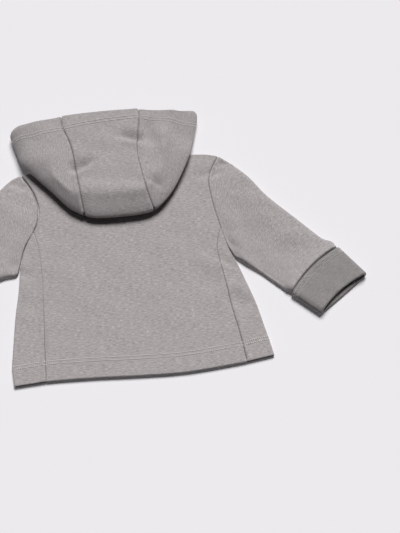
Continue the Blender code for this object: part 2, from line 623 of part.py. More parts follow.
def hood_side(name):
    """One side panel of the hood: rings from the upper seam round the rim to the neck or strip."""
    panel = HOOD[name]
    rim = path_at(panel.rim, RINGS)
    seam = path_at(panel.upper_seam, RINGS)
    back_share = 1.0 - RIM_SHARES_UP[::-1]
    lip = path_at(panel.lip, back_share)
    crown = seam[-1] + (rim[-1] - seam[-1]) * back_share[:, None]
    upper = coons(lip, crown, seam, rim, back_share, RINGS / LAST_RING)
    ends = neck_points(panel)
    turn = by_ring(TURN_RINGS, panel.turn)
    middle = np.where(RINGS[:, None] <= BACK_RING, turn, (rim + ends) / 2)
    t = RIM_SHARES_DOWN[None, :, None]
    lower = (1 - t) ** 2 * rim[:, None] + 2 * t * (1 - t) * middle[:, None] + t ** 2 * ends[:, None]
    level = FRONT_Z + (HOOD_BACK_Z - FRONT_Z) * smooth_step(RINGS, FLOOR_RING, BACK_RING)
    top = joined(upper, hood_top(upper))
    under = joined(lower, hood_low(lower, level[:, None]))
    grid = np.concatenate([top, under], axis=1)
    grid = pulled_in(grid, last_row=CROWN_GAP, first_column=SEAM_GAP / 2, last_column=SEAM_GAP)
    extra = np.broadcast_to(mouth_thickness(rim), grid.shape[:2][::-1]).T
    if name == "right":
        grid, extra = grid[:, ::-1], extra[:, ::-1]
    cloth(f"hood_side_{name}", grid, extra=extra)


STRIP_UPPER = np.concatenate([[0.0], 1.0 - RINGS[::-1]])
STRIP_LOWER = np.append((RINGS[RINGS >= STRIP_RING] - STRIP_RING) / (1.0 - STRIP_RING), 0.998)


def hood_centre():
    """The hood's centre strip, from the back neck down, round the crown and up to the lip."""
    u = np.linspace(0.0, 1.0, 10)
    rim = path_at(STRIP_RIM, u)
    lip = path_at(STRIP_LIP, u)
    neck = path_at(BACK_NECK[3:6], u)
    lower = coons(neck, rim, path_at(HOOD["left"].lower_seam, STRIP_LOWER),
                  path_at(HOOD["right"].lower_seam, STRIP_LOWER), u, STRIP_LOWER)
    upper = coons(rim, lip, path_at(HOOD["left"].upper_seam[::-1], STRIP_UPPER),
                  path_at(HOOD["right"].upper_seam[::-1], STRIP_UPPER), u, STRIP_UPPER)
    under = joined(lower, hood_low(lower, np.full(lower.shape[:-1], HOOD_BACK_Z)))
    top = joined(upper, hood_top(upper))
    grid = np.concatenate([under, top])
    grid = pulled_in(grid, first_column=SEAM_GAP / 2, last_column=SEAM_GAP / 2)
    extra = np.zeros(grid.shape[:2])
    extra[len(under):] = mouth_thickness(top[::-1, 0])[::-1, None]
    cloth("hood_centre", grid, extra=extra)


def main():
    """Makes every piece of the hoodie."""
    clear_scene()
    make_body()
    for name in SIDES:
        side_panel(name)
        make_sleeve(name)
        make_cuff(name)
        hood_side(name)
    hood_centre()


main()
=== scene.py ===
"""Looks of a toddler hoodie in grey melange sweatshirt knit, laid face down with its hood turned back.

Each panel is a thin wall of cloth round a surface worked out from the garment's sizes. The frame's
origin lies under the middle of the body: +X points to the wearer's right sleeve, +Y from the hem to
the neck and +Z up. Lengths are in millimetres until a mesh is made.
"""

import logging
import math
from dataclasses import dataclass
from enum import Enum

import bpy
import numpy as np
from bpy.types import Material, Node, NodeSocket, NodeTree, Object
from mathutils import Matrix, Vector
from numpy.typing import NDArray


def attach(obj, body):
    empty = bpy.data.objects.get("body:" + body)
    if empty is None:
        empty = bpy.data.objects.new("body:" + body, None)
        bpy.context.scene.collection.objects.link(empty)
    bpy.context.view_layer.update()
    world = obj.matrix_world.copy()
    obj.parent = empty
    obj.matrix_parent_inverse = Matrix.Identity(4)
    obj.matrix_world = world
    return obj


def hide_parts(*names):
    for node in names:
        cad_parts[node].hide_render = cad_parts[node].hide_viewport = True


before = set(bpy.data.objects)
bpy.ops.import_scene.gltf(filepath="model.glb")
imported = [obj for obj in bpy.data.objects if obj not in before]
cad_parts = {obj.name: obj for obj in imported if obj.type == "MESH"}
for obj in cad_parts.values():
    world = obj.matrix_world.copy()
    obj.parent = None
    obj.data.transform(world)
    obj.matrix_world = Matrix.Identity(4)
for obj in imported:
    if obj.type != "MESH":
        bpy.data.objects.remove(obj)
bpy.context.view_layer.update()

Array = NDArray[np.float64]
Spots = tuple[tuple[float, ...], ...]
Pair = tuple[float, float]
Triple = tuple[float, float, float]
log = logging.getLogger("hoodie")

MM = 0.001  # a millimetre in metres
TINY = 1e-9  # the least divisor
FAR = 99.0  # a distance that counts for nothing
BODY = "root"
UV_NAME = "cloth"


class Hand(Enum):
    """The wearer's side that a piece belongs to, with the sign of its X."""

    LEFT = -1
    RIGHT = 1


class Cut(Enum):
    """Where each kind of panel is cut from the flat cloth, so that no two show the same yarn."""

    BACK = (900.0, 400.0)
    FRONT = (1400.0, 400.0)
    SIDE = (2000.0, 300.0)
    SLEEVE = (3000.0, 500.0)
    CUFF = (4000.0, 500.0)
    HOOD_SIDE = (5000.0, 600.0)
    HOOD_CENTRE = (6000.0, 100.0)


# ---- numbers and curves ----
def smooth_step(value: Array | float, start: float, end: float) -> Array:
    """0 before start, 1 past end, and the S-curve 3t^2 - 2t^3 between them."""
    t = np.clip((np.asarray(value, float) - start) / (end - start), 0.0, 1.0)
    return t * t * (3.0 - 2.0 * t)


def quarter_round(share: Array | float) -> Array:
    """Height of a quarter circle over the share of its radius, flat past 1."""
    inside = 1.0 - np.clip(share, 0.0, 1.0)
    return np.sqrt(1.0 - inside * inside)


def bell(value: Array, width: Array | float) -> Array:
    """1 at 0 and falling as exp(-(value / width)^2)."""
    return np.exp(-((value / width) ** 2))


def walked(grid: Array, axis: int) -> Array:
    """Length walked along the grid's lines on one axis, from their first point to each point."""
    steps = np.linalg.norm(np.diff(grid, axis=axis), axis=-1)
    return np.insert(np.cumsum(steps, axis=axis), 0, 0.0, axis=axis)


def closed(grid: Array) -> Array:
    """The grid with its first column once more at its end."""
    return np.concatenate([grid, grid[:, :1]], axis=1)


def run_back(along: Array) -> Array:
    """Length left from each point to the end of its row."""
    return along[:, -1:] - along


def unit(vectors: Array) -> Array:
    """The vectors at length 1."""
    return vectors / np.maximum(np.linalg.norm(vectors, axis=-1, keepdims=True), TINY)


@dataclass(frozen=True)
class Curve:
    """A smooth curve through its spots, read by the share of its length."""

    spots: Spots

    def dense(self, count: int = 24) -> Array:
        """Points along it: a Catmull-Rom cubic between each pair of spots.

        Args:
            count: steps between two spots.
        Returns:
            The points, one row each.
        """
        knots = np.asarray(self.spots, float)
        padded = np.vstack([2 * knots[0] - knots[1], knots, 2 * knots[-1] - knots[-2]])
        t = np.linspace(0.0, 1.0, count, endpoint=False)[:, None]
        runs = [
            0.5 * (2 * b + (c - a) * t + (2 * a - 5 * b + 4 * c - d) * t ** 2
                   + (3 * b - 3 * c + d - a) * t ** 3)
            for a, b, c, d in zip(padded, padded[1:], padded[2:], padded[3:])
        ]
        return np.vstack(runs + [knots[-1:]])

    def at(self, shares: Array) -> Array:
        """Points at these shares of its length."""
        return read_line(self.dense(), shares)

    def back(self) -> "Curve":
        """The same curve from its other end."""
        return Curve(self.spots[::-1])

    def length(self) -> float:
        """Its length."""
        return float(walked(self.dense(), 0)[-1])

    def y_at(self, x: Array) -> Array:
        """Its y over each x, where it runs along X."""
        points = self.dense()[np.argsort(self.dense()[:, 0])]
        return np.interp(x, points[:, 0], points[:, 1])

    def distance(self, points: Array, count: int = 120) -> Array:
        """Distance in plan from each point to the curve.

        Args:
            points: any array of points, of which x and y count.
            count: points of the line that stands in for the curve.
        Returns:
            The distances, without the last axis.
        """
        line = self.at(np.linspace(0.0, 1.0, count))
        flat = points[..., :2].reshape(-1, 2)
        best = np.full(len(flat), np.inf)
        for start, step in zip(line[:-1], np.diff(line, axis=0)):
            share = np.clip((flat - start) @ step / (step @ step), 0.0, 1.0)
            best = np.minimum(best, np.linalg.norm(flat - start - share[:, None] * step, axis=1))
        return best.reshape(points.shape[:-1])


def between(where: Array, places: Array, rows: Array) -> Array:
    """Rows of numbers read at these places, in straight steps between their own places."""
    return np.stack([np.interp(where, places, column) for column in np.asarray(rows, float).T], axis=-1)


def read_line(points: Array, shares: Array) -> Array:
    """Points of a line at these shares of its length."""
    length = walked(points, 0)
    return between(np.asarray(shares, float) * length[-1], length, points)


def apart(values: Array, step: float) -> Array:
    """The values without those that follow the one before them by less than the step."""
    return values[np.concatenate([[True], np.diff(values) > step])]


EDGE_STEPS = (0.2, 0.45, 0.75, 1.1, 1.6, 2.3)  # finer steps in from an edge
ROW_STEPS = (-1.2, -0.8, -0.4, 0.0, 0.4, 0.8, 1.2)  # and round a row of stitches
LEAST_STEP = 0.15


def spaced(length: float, pitch: float, near: bool = True, far: bool = True,
           dense: tuple[float, ...] = ()) -> Array:
    """Shares of a length at even steps, with finer ones at its ends and round some places.

    Args:
        length: the whole length.
        pitch: the even step.
        near: finer steps at the start.
        far: finer steps at the end.
        dense: distances round which the steps are finer.
    Returns:
        The shares from 0 to 1.
    """
    parts = [np.linspace(0.0, length, max(3, int(length / pitch)))]
    edge = np.array(EDGE_STEPS)
    if near:
        parts.append(edge)
    if far:
        parts.append(length - edge)
    parts += [centre + np.array(ROW_STEPS) for centre in dense]
    found = apart(np.sort(np.clip(np.concatenate(parts), 0.0, length)), LEAST_STEP)
    found[-1] = length
    return found / length


def coons(low: Array, high: Array, left: Array, right: Array, u: Array, v: Array) -> Array:
    """Plan grid between four edges, each point blended from the four edge points beside it.

    Args:
        low: the edge at v = 0, along u.
        high: the edge at v = 1, along u.
        left: the edge at u = 0, along v.
        right: the edge at u = 1, along v.
        u: shares of the columns.
        v: shares of the rows.
    Returns:
        Rows by columns by 2.
    """
    u = u[None, :, None]
    v = v[:, None, None]
    corners = ((1 - u) * (1 - v) * low[0] + u * (1 - v) * low[-1]
               + (1 - u) * v * high[0] + u * v * high[-1])
    return ((1 - v) * low[None] + v * high[None]
            + (1 - u) * left[:, None] + u * right[:, None] - corners)


def joined(plan: Array, height: Array | float) -> Array:
    """The plan with its heights."""
    height = np.broadcast_to(height, plan.shape[:-1])
    return np.concatenate([plan, height[..., None]], axis=-1)


def grid_normals(grid: Array, wraps: bool) -> Array:
    """Unit normals of a grid, whose columns may close: its column direction cross its row direction."""
    across = np.roll(grid, -1, axis=1) - np.roll(grid, 1, axis=1) if wraps else np.gradient(grid, axis=1)
    return unit(np.cross(across, np.gradient(grid, axis=0)))


PAST_END = 0.1  # share of a fold's length past its end where its fade starts


@dataclass(frozen=True)
class Fold:
    """A soft crease: a trough where depth is positive, a ridge where it is negative."""

    start: Pair
    end: Pair
    width: float
    depth: float
    fade: Pair = (0.35, 0.35)  # shares of its length over which it dies out at each end
    lean: float = 0.0  # 0.5 makes its left flank broad and its right one steep

    def height(self, plan: Array) -> Array:
        """Height that it adds: minus depth, times a bell across it and a smooth fade along it.

        Args:
            plan: the points, of which x and y count.
        Returns:
            The height at each.
        """
        start = np.array(self.start)
        run = np.array(self.end) - start
        length = np.linalg.norm(run)
        along = (plan[..., :2] - start) @ (run / length) / length
        aside = (plan[..., :2] - start) @ (np.array([-run[1], run[0]]) / length)
        width = self.width * np.where(aside > 0, 1.0 + self.lean, 1.0 - self.lean)
        overrun = np.maximum(np.abs(along - 0.5) - 0.5, 0.0) * length
        shape = bell(aside, width) * bell(overrun, self.width)
        if self.fade[0]:
            shape = shape * smooth_step(along, -PAST_END, self.fade[0])
        if self.fade[1]:
            shape = shape * (1.0 - smooth_step(along, 1.0 - self.fade[1], 1.0 + PAST_END))
        return -self.depth * shape


def folded(folds: tuple[Fold, ...], plan: Array) -> Array:
    """The sum of the folds' heights at each point."""
    return sum((fold.height(plan) for fold in folds), np.zeros(plan.shape[:-1]))


WAVE_COUNT = 7
WAVE_SIZES = (0.6, 0.9)  # the shortest's share of the size, and what chance adds to it
WAVE_SUM = 2.6  # their sum is divided by this, about the root of their number


def waves(plan: Array, seed: int, size: float, height: float) -> Array:
    """Gentle unevenness: the sum of a few plane waves of about this size in chance directions.

    Args:
        plan: the points, of which x and y count.
        seed: start of the random draws.
        size: middling wavelength.
        height: middling height of the sum.
    Returns:
        The height at each point.
    """
    chance = np.random.default_rng(seed)
    total = np.zeros(plan.shape[:-1])
    for turn, phase, stretch in chance.uniform(size=(WAVE_COUNT, 3)):
        direction = np.array([math.cos(turn * math.tau), math.sin(turn * math.tau)])
        wave = math.tau / (size * (WAVE_SIZES[0] + WAVE_SIZES[1] * stretch))
        total += np.sin(plan[..., :2] @ direction * wave + phase * math.tau)
    return total * height / WAVE_SUM


@dataclass(frozen=True)
class Ripple:
    """Uneven ripples along a row: a sine of the way along it, whose phase swings slowly."""

    rate: float  # radians to the millimetre
    swing: float = 0.0  # how far the phase swings, in radians
    swing_rate: float = 0.0  # radians of that swing to the millimetre
    phase: float = 0.0
    height: float = 1.0

    def at(self, along: Array) -> Array:
        """Its height along the row."""
        swing = self.swing * np.sin(along * self.swing_rate)
        return self.height * np.sin(along * self.rate + swing + self.phase)


# ---- cloth ----
@dataclass(frozen=True)
class Cloth:
    """The knit and the layers that it lies in."""

    thickness: float = 1.8
    gap: float = 0.3  # between neighbouring pieces
    hem_extra: float = 0.7  # a turned hem is thicker by this, on its inner side
    hem_depth: float = 25.0  # turned hem of the body
    mouth_depth: float = 20.0  # turned hem round the hood's mouth
    twin: float = 4.2  # distance between the two rows of a twin-needle stitch
    front_z: float = 0.9  # middle of the front's cloth
    back_z: float = 4.6  # middle of the back's cloth
    hem_back_z: float = 4.7  # the same at the hem
    roll: float = 1.9  # a seam draws the cloth's edge down over this width
    roll_depth: float = 1.25  # by this much
    allowance_lift: float = 0.45  # rise over a seam's allowances, which lie under one side of it
    allowance: Triple = (2.0, 4.6, 8.0)  # distances where it is whole, starts to fall and ends
    past_hem: float = 2.0  # the body's farther stitch row runs this far past the turned hem
    hem_fade: Pair = (1.5, 3.0)  # a turned hem thins out between these distances past its depth
    groove_depth: float = 0.06  # of the groove under a stitch row
    groove_width: float = 0.7
    swell_height: float = 0.12  # of the swelling between two stitch rows
    swell_width: float = 1.3
    pucker_height: float = 0.09  # of the puckers along them
    pucker_width: float = 5.5
    puckers: tuple[Ripple, ...] = (Ripple(0.83, 1.4, 0.21), Ripple(1.37, phase=2.0, height=0.6))
    edge_in: float = 1.2  # a free edge's middle lies this far inside its outline
    seam_in: float = 0.95  # the same at a seam
    cuff_in: float = 0.7  # and at the cuff's free edge
    cuff_rows: Pair = (2.6, 8.6)  # rows of the cuff's stitching, from its free edge

    @property
    def half(self) -> float:
        """Half the cloth's thickness."""
        return self.thickness / 2

    @property
    def fold_radius(self) -> float:
        """Radius of the body's side folds, to the middle of the cloth."""
        return (self.back_z - self.front_z) / 2

    @property
    def hem_row(self) -> float:
        """Distance from the body's lower edge to the farther of its two stitch rows."""
        return self.hem_depth + self.past_hem

    def pair(self, depth: Array | float) -> tuple[Array | float, Array | float]:
        """Both rows of a twin-needle stitch, of which the farther one runs at this depth."""
        return depth, depth - self.twin

    def doubled(self, distance: Array, depth: Array | float) -> Array:
        """Extra thickness of a hem turned at this depth, by the distance from the cloth's edge."""
        start, end = self.hem_fade
        return self.hem_extra * (1.0 - smooth_step(distance, depth + start, depth + end))

    def seam(self, distance: Array, lifted: bool = False, pull: Array | float = 1.0) -> Array:
        """Height beside a seam: a quarter circle down at the edge, and a low rise over an allowance.

        Args:
            distance: how far each point is from the seam.
            lifted: the allowances lie under this side.
            pull: how strongly the seam draws the cloth down.
        Returns:
            The height to add.
        """
        height = -self.roll_depth * pull * (1.0 - quarter_round(distance / (self.roll * pull)))
        if lifted:
            whole, start, end = self.allowance
            rise = smooth_step(distance, 0.0, whole) * (1.0 - smooth_step(distance, start, end))
            height = height + self.allowance_lift * rise
        return height

    def stitched(self, distance: Array, along: Array, depth: Array | float) -> Array:
        """Height beside a twin stitch row: two narrow grooves, a swelling between and faint puckers.

        Args:
            distance: distance of each point from the cloth's edge.
            along: its distance along the edge.
            depth: where the row farther from the edge runs.
        Returns:
            The height to add.
        """
        beside = distance - depth
        middle = beside + self.twin / 2
        grooves = bell(beside, self.groove_width) + bell(beside + self.twin, self.groove_width)
        pucker = sum(ripple.at(along) for ripple in self.puckers)
        return (-self.groove_depth * grooves + self.swell_height * bell(middle, self.swell_width)
                + self.pucker_height * pucker * bell(middle, self.pucker_width))


CLOTH = Cloth()
SHOULDERS = Curve(((-137, 157), (-95, 162), (-50, 164), (0, 165), (50, 165), (95, 164), (118, 162),
                   (137, 157)))
HEM = Curve(((-157, -159), (-118, -157), (-60, -159), (0, -163), (60, -165), (133, -160),
             (155, -156), (167.5, -155.5)))
BACK_NECK = Curve(((-50, 164), (-47, 159), (-41, 156), (-30, 153), (0, 151), (30, 153), (41, 156),
                   (47, 159), (50, 165)))
FRONT_NECK = Curve(((-50, 164), (-46, 148), (-34, 130), (-17, 120), (0, 117), (17, 120), (34, 130),
                    (46, 148), (50, 165)))


@dataclass(frozen=True)
class SideCut:
    """Outlines of one side of the body and its sleeve, seen from above."""

    armhole_back: Curve
    armhole_side: Curve
    armhole_sleeve: Curve
    seam: Curve
    fold: Curve
    sleeve_outer: Curve
    sleeve_inner: Curve
    mouth: Spots
    seam_pull: float  # how strongly the body's seam draws the cloth down
    armhole_pull: float
    armhole_in: float  # how far inside the outlines its edges lie
    sleeve_folds: tuple[Fold, ...]


CUTS = {
    Hand.RIGHT: SideCut(
        armhole_back=Curve(((137, 157), (127, 140), (121, 126), (119, 110), (121, 78), (126, 41))),
        armhole_side=Curve(((126, 41), (130, 13), (136, -8))),
        armhole_sleeve=Curve(((126, 41), (130.5, 15), (138.5, -6))),
        seam=Curve(((133, -160), (129, -116), (125, -85), (121, -39), (118, -8), (118, 16), (126, 41))),
        fold=Curve(((167.5, -155.5), (165, -138), (162, -119), (155.5, -79), (146.5, -43),
                    (140.5, -21), (136, -8))),
        sleeve_outer=Curve(((137, 157), (146.5, 148.5), (158, 136.5), (176, 114), (196, 81),
                            (231, 38), (250, 14.5), (264, -1), (275, -9))),
        sleeve_inner=Curve(((138.5, -6), (154, -21), (170, -35), (185, -51), (203, -70))),
        mouth=((305, -55), (237, -104)),
        seam_pull=0.8,
        armhole_pull=1.35,
        armhole_in=0.95,
        sleeve_folds=(
            Fold((131, 139), (150, 147), 6.5, 3.0, fade=(0.3, 0.3), lean=0.35),
            Fold((122, 124), (144, 133), 6.5, 3.4, fade=(0.0, 0.4), lean=0.35),
            Fold((131, 18), (150, -2), 5, 1.8, fade=(0.0, 0.6)),
            Fold((190, 40), (168, 2), 10, 0.7),
        ),
    ),
    Hand.LEFT: SideCut(
        armhole_back=Curve(((-137, 157), (-128, 141), (-121, 125), (-116, 101), (-118, 80),
                            (-124, 64))),
        armhole_side=Curve(((-124, 64), (-137, 37), (-143.8, 3))),
        armhole_sleeve=Curve(((-124, 64), (-137.7, 38), (-146, 2.5))),
        seam=Curve(((-118, -157), (-117, -93), (-116, -41), (-116, -5), (-118, 34), (-124, 64))),
        fold=Curve(((-157, -159), (-158.5, -134), (-156.5, -110), (-151.5, -60), (-147.5, -34),
                    (-144.8, -12), (-143.8, 3))),
        sleeve_outer=Curve(((-137, 157), (-147, 153), (-157, 145), (-171, 131), (-199, 106),
                            (-245, 66.5), (-302, 18))),
        sleeve_inner=Curve(((-146, 2.5), (-152, -1), (-160, -1.5), (-172, -4.5), (-200, -18),
                            (-225, -35), (-248, -54))),
        mouth=((-343, -11), (-288, -84)),
        seam_pull=0.3,
        armhole_pull=1.6,
        armhole_in=1.45,
        sleeve_folds=(
            Fold((-153, 146), (-134, 133), 6, 2.6, fade=(0.3, 0.1), lean=0.35),
            Fold((-146, 18), (-158, 10), 5, 1.6, fade=(0.0, 0.5)),
        ),
    ),
}


# ---- finishes ----
def lookup(group: NodeTree, kind: str, **values: object) -> Node:
    """A new node with its own settings.

    Args:
        group: the node tree that it goes into.
        kind: Blender's name of the node.
        values: properties to set on it.
    Returns:
        The node.
    """
    node = group.nodes.new(kind)
    for name, value in values.items():
        setattr(node, name, value)
    return node


@dataclass
class NodeMaker:
    """Short ways to put mathematics into a node tree."""

    tree: NodeTree

    def feed(self, socket: NodeSocket, value: object) -> None:
        """Links a socket or sets a constant on it.

        Args:
            socket: the input.
            value: another node's output, or the constant.
        """
        if isinstance(value, NodeSocket):
            self.tree.links.new(value, socket)
        else:
            socket.default_value = value

    def node(self, kind: str, output: int | str, inputs: dict[int | str, object],
             **values: object) -> NodeSocket:
        """One output of a new node.

        Args:
            kind: Blender's name of the node.
            output: which output.
            inputs: sockets or constants by input.
            values: properties to set on the node.
        Returns:
            The output.
        """
        node = lookup(self.tree, kind, **values)
        for socket, value in inputs.items():
            self.feed(node.inputs[socket], value)
        return node.outputs[output]

    def math(self, kind: str, *values: object) -> NodeSocket:
        """A Math node's result."""
        return self.node("ShaderNodeMath", 0, dict(enumerate(values)), operation=kind)

    def scaled(self, vector: object, scale: Triple) -> NodeSocket:
        """The vector times a scale along each axis."""
        return self.node("ShaderNodeVectorMath", 0, {0: vector, 1: scale}, operation="MULTIPLY")

    def noise(self, vector: object, size: Triple, detail: float = 2.0, rough: float = 0.55) -> NodeSocket:
        """Smooth noise from about 0 to 1, with lumps of this size along each axis."""
        inputs = {"Vector": self.scaled(vector, tuple(1 / part for part in size)), "Scale": 1.0}
        return self.node("ShaderNodeTexNoise", "Fac", {**inputs, "Detail": detail, "Roughness": rough})

    def stretched(self, value: object, low: float, high: float, to_low: float = 0.0,
                  to_high: float = 1.0) -> NodeSocket:
        """The value moved from one range to another along an S-curve, and held inside it."""
        inputs = dict(enumerate((value, low, high, to_low, to_high)))
        return self.node("ShaderNodeMapRange", 0, inputs, interpolation_type="SMOOTHSTEP")

    def mixed(self, share: object, first: object, second: object) -> NodeSocket:
        """Two colours mixed by the share of the second one."""
        inputs = {"Factor": share, "A": first, "B": second}
        return self.node("ShaderNodeMix", "Result", inputs, data_type="RGBA")

    def bumped(self, height: NodeSocket, distance: float) -> NodeSocket:
        """Normals of a relief, whose heights are in units of this distance."""
        return self.node("ShaderNodeBump", "Normal", {"Distance": distance, "Height": height})


def new_group(name: str, inputs: dict[str, str], output: tuple[str, str]) -> NodeTree:
    """A new node group with its sockets.

    Args:
        name: the group's name.
        inputs: kinds of the inputs by name: Vector, Float or Color.
        output: name and kind of the output.
    Returns:
        The group.
    """
    group = bpy.data.node_groups.new(name, "ShaderNodeTree")
    for way, sockets in (("INPUT", inputs.items()), ("OUTPUT", [output])):
        for socket, kind in sockets:
            group.interface.new_socket(name=socket, in_out=way, socket_type=f"NodeSocket{kind}")
    return group


@dataclass(frozen=True)
class Melange:
    """A melange yarn: sizes of its noises, in millimetres along and across the courses, and shares."""

    streak: Triple = (8.5, 1.4, 1.0)
    streak_share: float = 0.68
    fleck: Triple = (4.0, 0.75, 1.0)
    fleck_share: float = 0.85
    cloud: Triple = (34.0, 22.0, 1.0)
    cloud_share: float = 0.06
    middle: float = 0.795  # middling value of their sum

    def group(self) -> NodeTree:
        """Node group of the yarn: streaks along the courses, mixed from three shades.

        The tone is a sum of noises drawn out along the yarn: flecks a few millimetres long, streaks of
        twice that and clouds of a few centimetres. Its distance from the middle, times the contrast,
        leads from the dark shade over the middle one to the light one.

        Returns:
            The group, with a Color output.
        """
        group = new_group("melange_yarn", {"Place": "Vector", "Contrast": "Float", "Dark": "Color",
                                           "Middle": "Color", "Light": "Color"}, ("Color", "Color"))
        make = NodeMaker(group)
        given = lookup(group, "NodeGroupInput").outputs
        streak = make.noise(given["Place"], self.streak, 2.0, 0.6)
        fleck = make.noise(given["Place"], self.fleck, 1.0)
        cloud = make.noise(given["Place"], self.cloud, 1.0)
        tone = make.math("MULTIPLY_ADD", fleck, self.fleck_share,
                         make.math("MULTIPLY", streak, self.streak_share))
        tone = make.math("MULTIPLY_ADD", cloud, self.cloud_share, tone)
        centred = make.math("SUBTRACT", tone, self.middle)
        spread = make.math("MULTIPLY_ADD", centred, given["Contrast"], 0.5)
        darker = make.mixed(make.stretched(spread, 0.0, 0.5), given["Dark"], given["Middle"])
        color = make.mixed(make.stretched(spread, 0.5, 1.0), darker, given["Light"])
        make.feed(lookup(group, "NodeGroupOutput").inputs["Color"], color)
        return group


@dataclass(frozen=True)
class Loops:
    """The knit's face: columns of V-shaped loops with a fine fuzz over them."""

    leg: float = 0.35  # height of a loop's legs, as a share of the relief
    valley: float = -0.8  # depth between two columns, as a share of the relief
    valley_start: float = 0.28  # where it starts, in columns from the middle of one
    fibre: Triple = (0.5, 0.35, 1.0)  # size of the fuzz's fibres, in millimetres
    lump: Triple = (2.6, 1.5, 1.0)  # size of its broader lumps
    lump_share: float = 0.6

    def group(self) -> NodeTree:
        """Node group of the relief.

        A loop leans by its distance from the middle of its column, so the height is a cosine of the
        course plus that distance, lowered between two columns.

        Returns:
            The group, with a Height output in millimetres.
        """
        group = new_group("knit_loops", {"Place": "Vector", "Wale": "Float", "Course": "Float",
                                         "Relief": "Float", "Fuzz": "Float"}, ("Height", "Float"))
        make = NodeMaker(group)
        given = lookup(group, "NodeGroupInput").outputs
        split = lookup(group, "ShaderNodeSeparateXYZ")
        make.feed(split.inputs[0], given["Place"])
        column = make.math("DIVIDE", split.outputs["X"], given["Wale"])
        aside = make.math("ABSOLUTE", make.math("SUBTRACT", make.math("FRACT", column), 0.5))
        course = make.math("ADD", make.math("DIVIDE", split.outputs["Y"], given["Course"]), aside)
        leg = make.math("COSINE", make.math("MULTIPLY", course, math.tau))
        valley = make.stretched(aside, self.valley_start, 0.5, 0.0, self.valley)
        loops = make.math("MULTIPLY", make.math("MULTIPLY_ADD", leg, self.leg, valley), given["Relief"])
        fibres = make.noise(given["Place"], self.fibre, 3.0, 0.7)
        lumps = make.noise(given["Place"], self.lump, 2.0)
        fuzz = make.math("MULTIPLY", make.math("MULTIPLY_ADD", lumps, self.lump_share, fibres),
                         given["Fuzz"])
        make.feed(lookup(group, "NodeGroupOutput").inputs["Height"], make.math("ADD", loops, fuzz))
        return group


def new_material(name: str, values: dict[str, object]) -> tuple[Material, Node]:
    """A new material with constants on its shader.

    Args:
        name: the material's name.
        values: constants for the Principled BSDF, by the name of their socket.
    Returns:
        The material and its Principled BSDF.
    """
    material = bpy.data.materials.new(name)
    material.use_nodes = True
    shader = material.node_tree.nodes["Principled BSDF"]
    for socket, value in values.items():
        shader.inputs[socket].default_value = value
    return material, shader


@dataclass(frozen=True)
class KnitFinish:
    """One face of the knit."""

    name: str
    slot: str
    dark: Triple
    middle: Triple
    light: Triple
    contrast: float = 2.0
    roughness: float = 0.92
    specular: float = 0.2
    wale: float = 0.85  # width of a column of loops, in millimetres
    course: float = 0.65  # height of a row of loops
    relief: float = 0.085  # height of the loops
    fuzz: float = 0.10  # height of the fibres over them
    sheen: float = 0.12
    sheen_roughness: float = 0.5

    def material(self, yarn: NodeTree, loops: NodeTree) -> Material:
        """The material of this face.

        Args:
            yarn: the node group of the melange colours.
            loops: the node group of the knitted relief.
        Returns:
            The material, which reads the piece's own UV map.
        """
        material, shader = new_material(self.name, {
            "Roughness": self.roughness, "Specular IOR Level": self.specular,
            "Sheen Weight": self.sheen, "Sheen Roughness": self.sheen_roughness})
        make = NodeMaker(material.node_tree)
        cloth_place = make.node("ShaderNodeUVMap", 0, {}, uv_map=UV_NAME)
        place = make.scaled(cloth_place, (1 / MM, 1 / MM, 0.0))
        colour = make.node("ShaderNodeGroup", "Color", {
            "Place": place, "Contrast": self.contrast, "Dark": (*self.dark, 1.0),
            "Middle": (*self.middle, 1.0), "Light": (*self.light, 1.0)}, node_tree=yarn)
        height = make.node("ShaderNodeGroup", "Height", {
            "Place": place, "Wale": self.wale, "Course": self.course, "Relief": self.relief,
            "Fuzz": self.fuzz}, node_tree=loops)
        make.feed(shader.inputs["Base Color"], colour)
        make.feed(shader.inputs["Normal"], make.bumped(height, MM))
        return material


OUTSIDE = KnitFinish("knit_outside", "melange_knit", (0.278, 0.252, 0.253), (0.398, 0.366, 0.367),
                     (0.543, 0.506, 0.508))
INSIDE = KnitFinish("knit_inside", "melange_knit_inside", (0.19, 0.176, 0.175), (0.27, 0.252, 0.25),
                    (0.366, 0.343, 0.34), contrast=1.6, wale=1.3, course=1.1, relief=0.08, fuzz=0.2)


@dataclass(frozen=True)
class ThreadFinish:
    """Sewing thread, twisted and a little shiny."""

    name: str
    colour: Triple
    roughness: float = 0.6
    twist: float = 900.0  # scale of the twist's stripes, to the metre
    twist_depth: float = 0.05  # their depth, in millimetres
    patch: float = 1 / 160  # size of its darker patches, in metres
    darker: float = 0.82  # their colour's share of the thread's

    def material(self) -> Material:
        """The material: patches of two close shades, with the twist's fine stripes as a bump.

        Returns:
            The material, which reads Object coordinates.
        """
        material, shader = new_material(self.name, {"Roughness": self.roughness})
        make = NodeMaker(material.node_tree)
        place = make.node("ShaderNodeTexCoord", "Object", {})
        twist = make.node("ShaderNodeTexWave", "Fac", {"Vector": place, "Scale": self.twist},
                          bands_direction="DIAGONAL")
        make.feed(shader.inputs["Normal"], make.bumped(twist, self.twist_depth * MM))
        shade = make.noise(place, (self.patch, self.patch, self.patch))
        dark = tuple(self.darker * part for part in self.colour)
        make.feed(shader.inputs["Base Color"], make.mixed(shade, (*dark, 1.0), (*self.colour, 1.0)))
        return material


THREAD = ThreadFinish("thread_tonal", (0.88, 0.84, 0.83))
PALE_THREAD = ThreadFinish("thread_pale", (0.60, 0.575, 0.57))
# a near-black thread finish: painted shade where the thread goes down into the needle holes
PAINTED_HOLE_SHADE = ThreadFinish("needle_hole", (0.075, 0.068, 0.068), roughness=0.9)


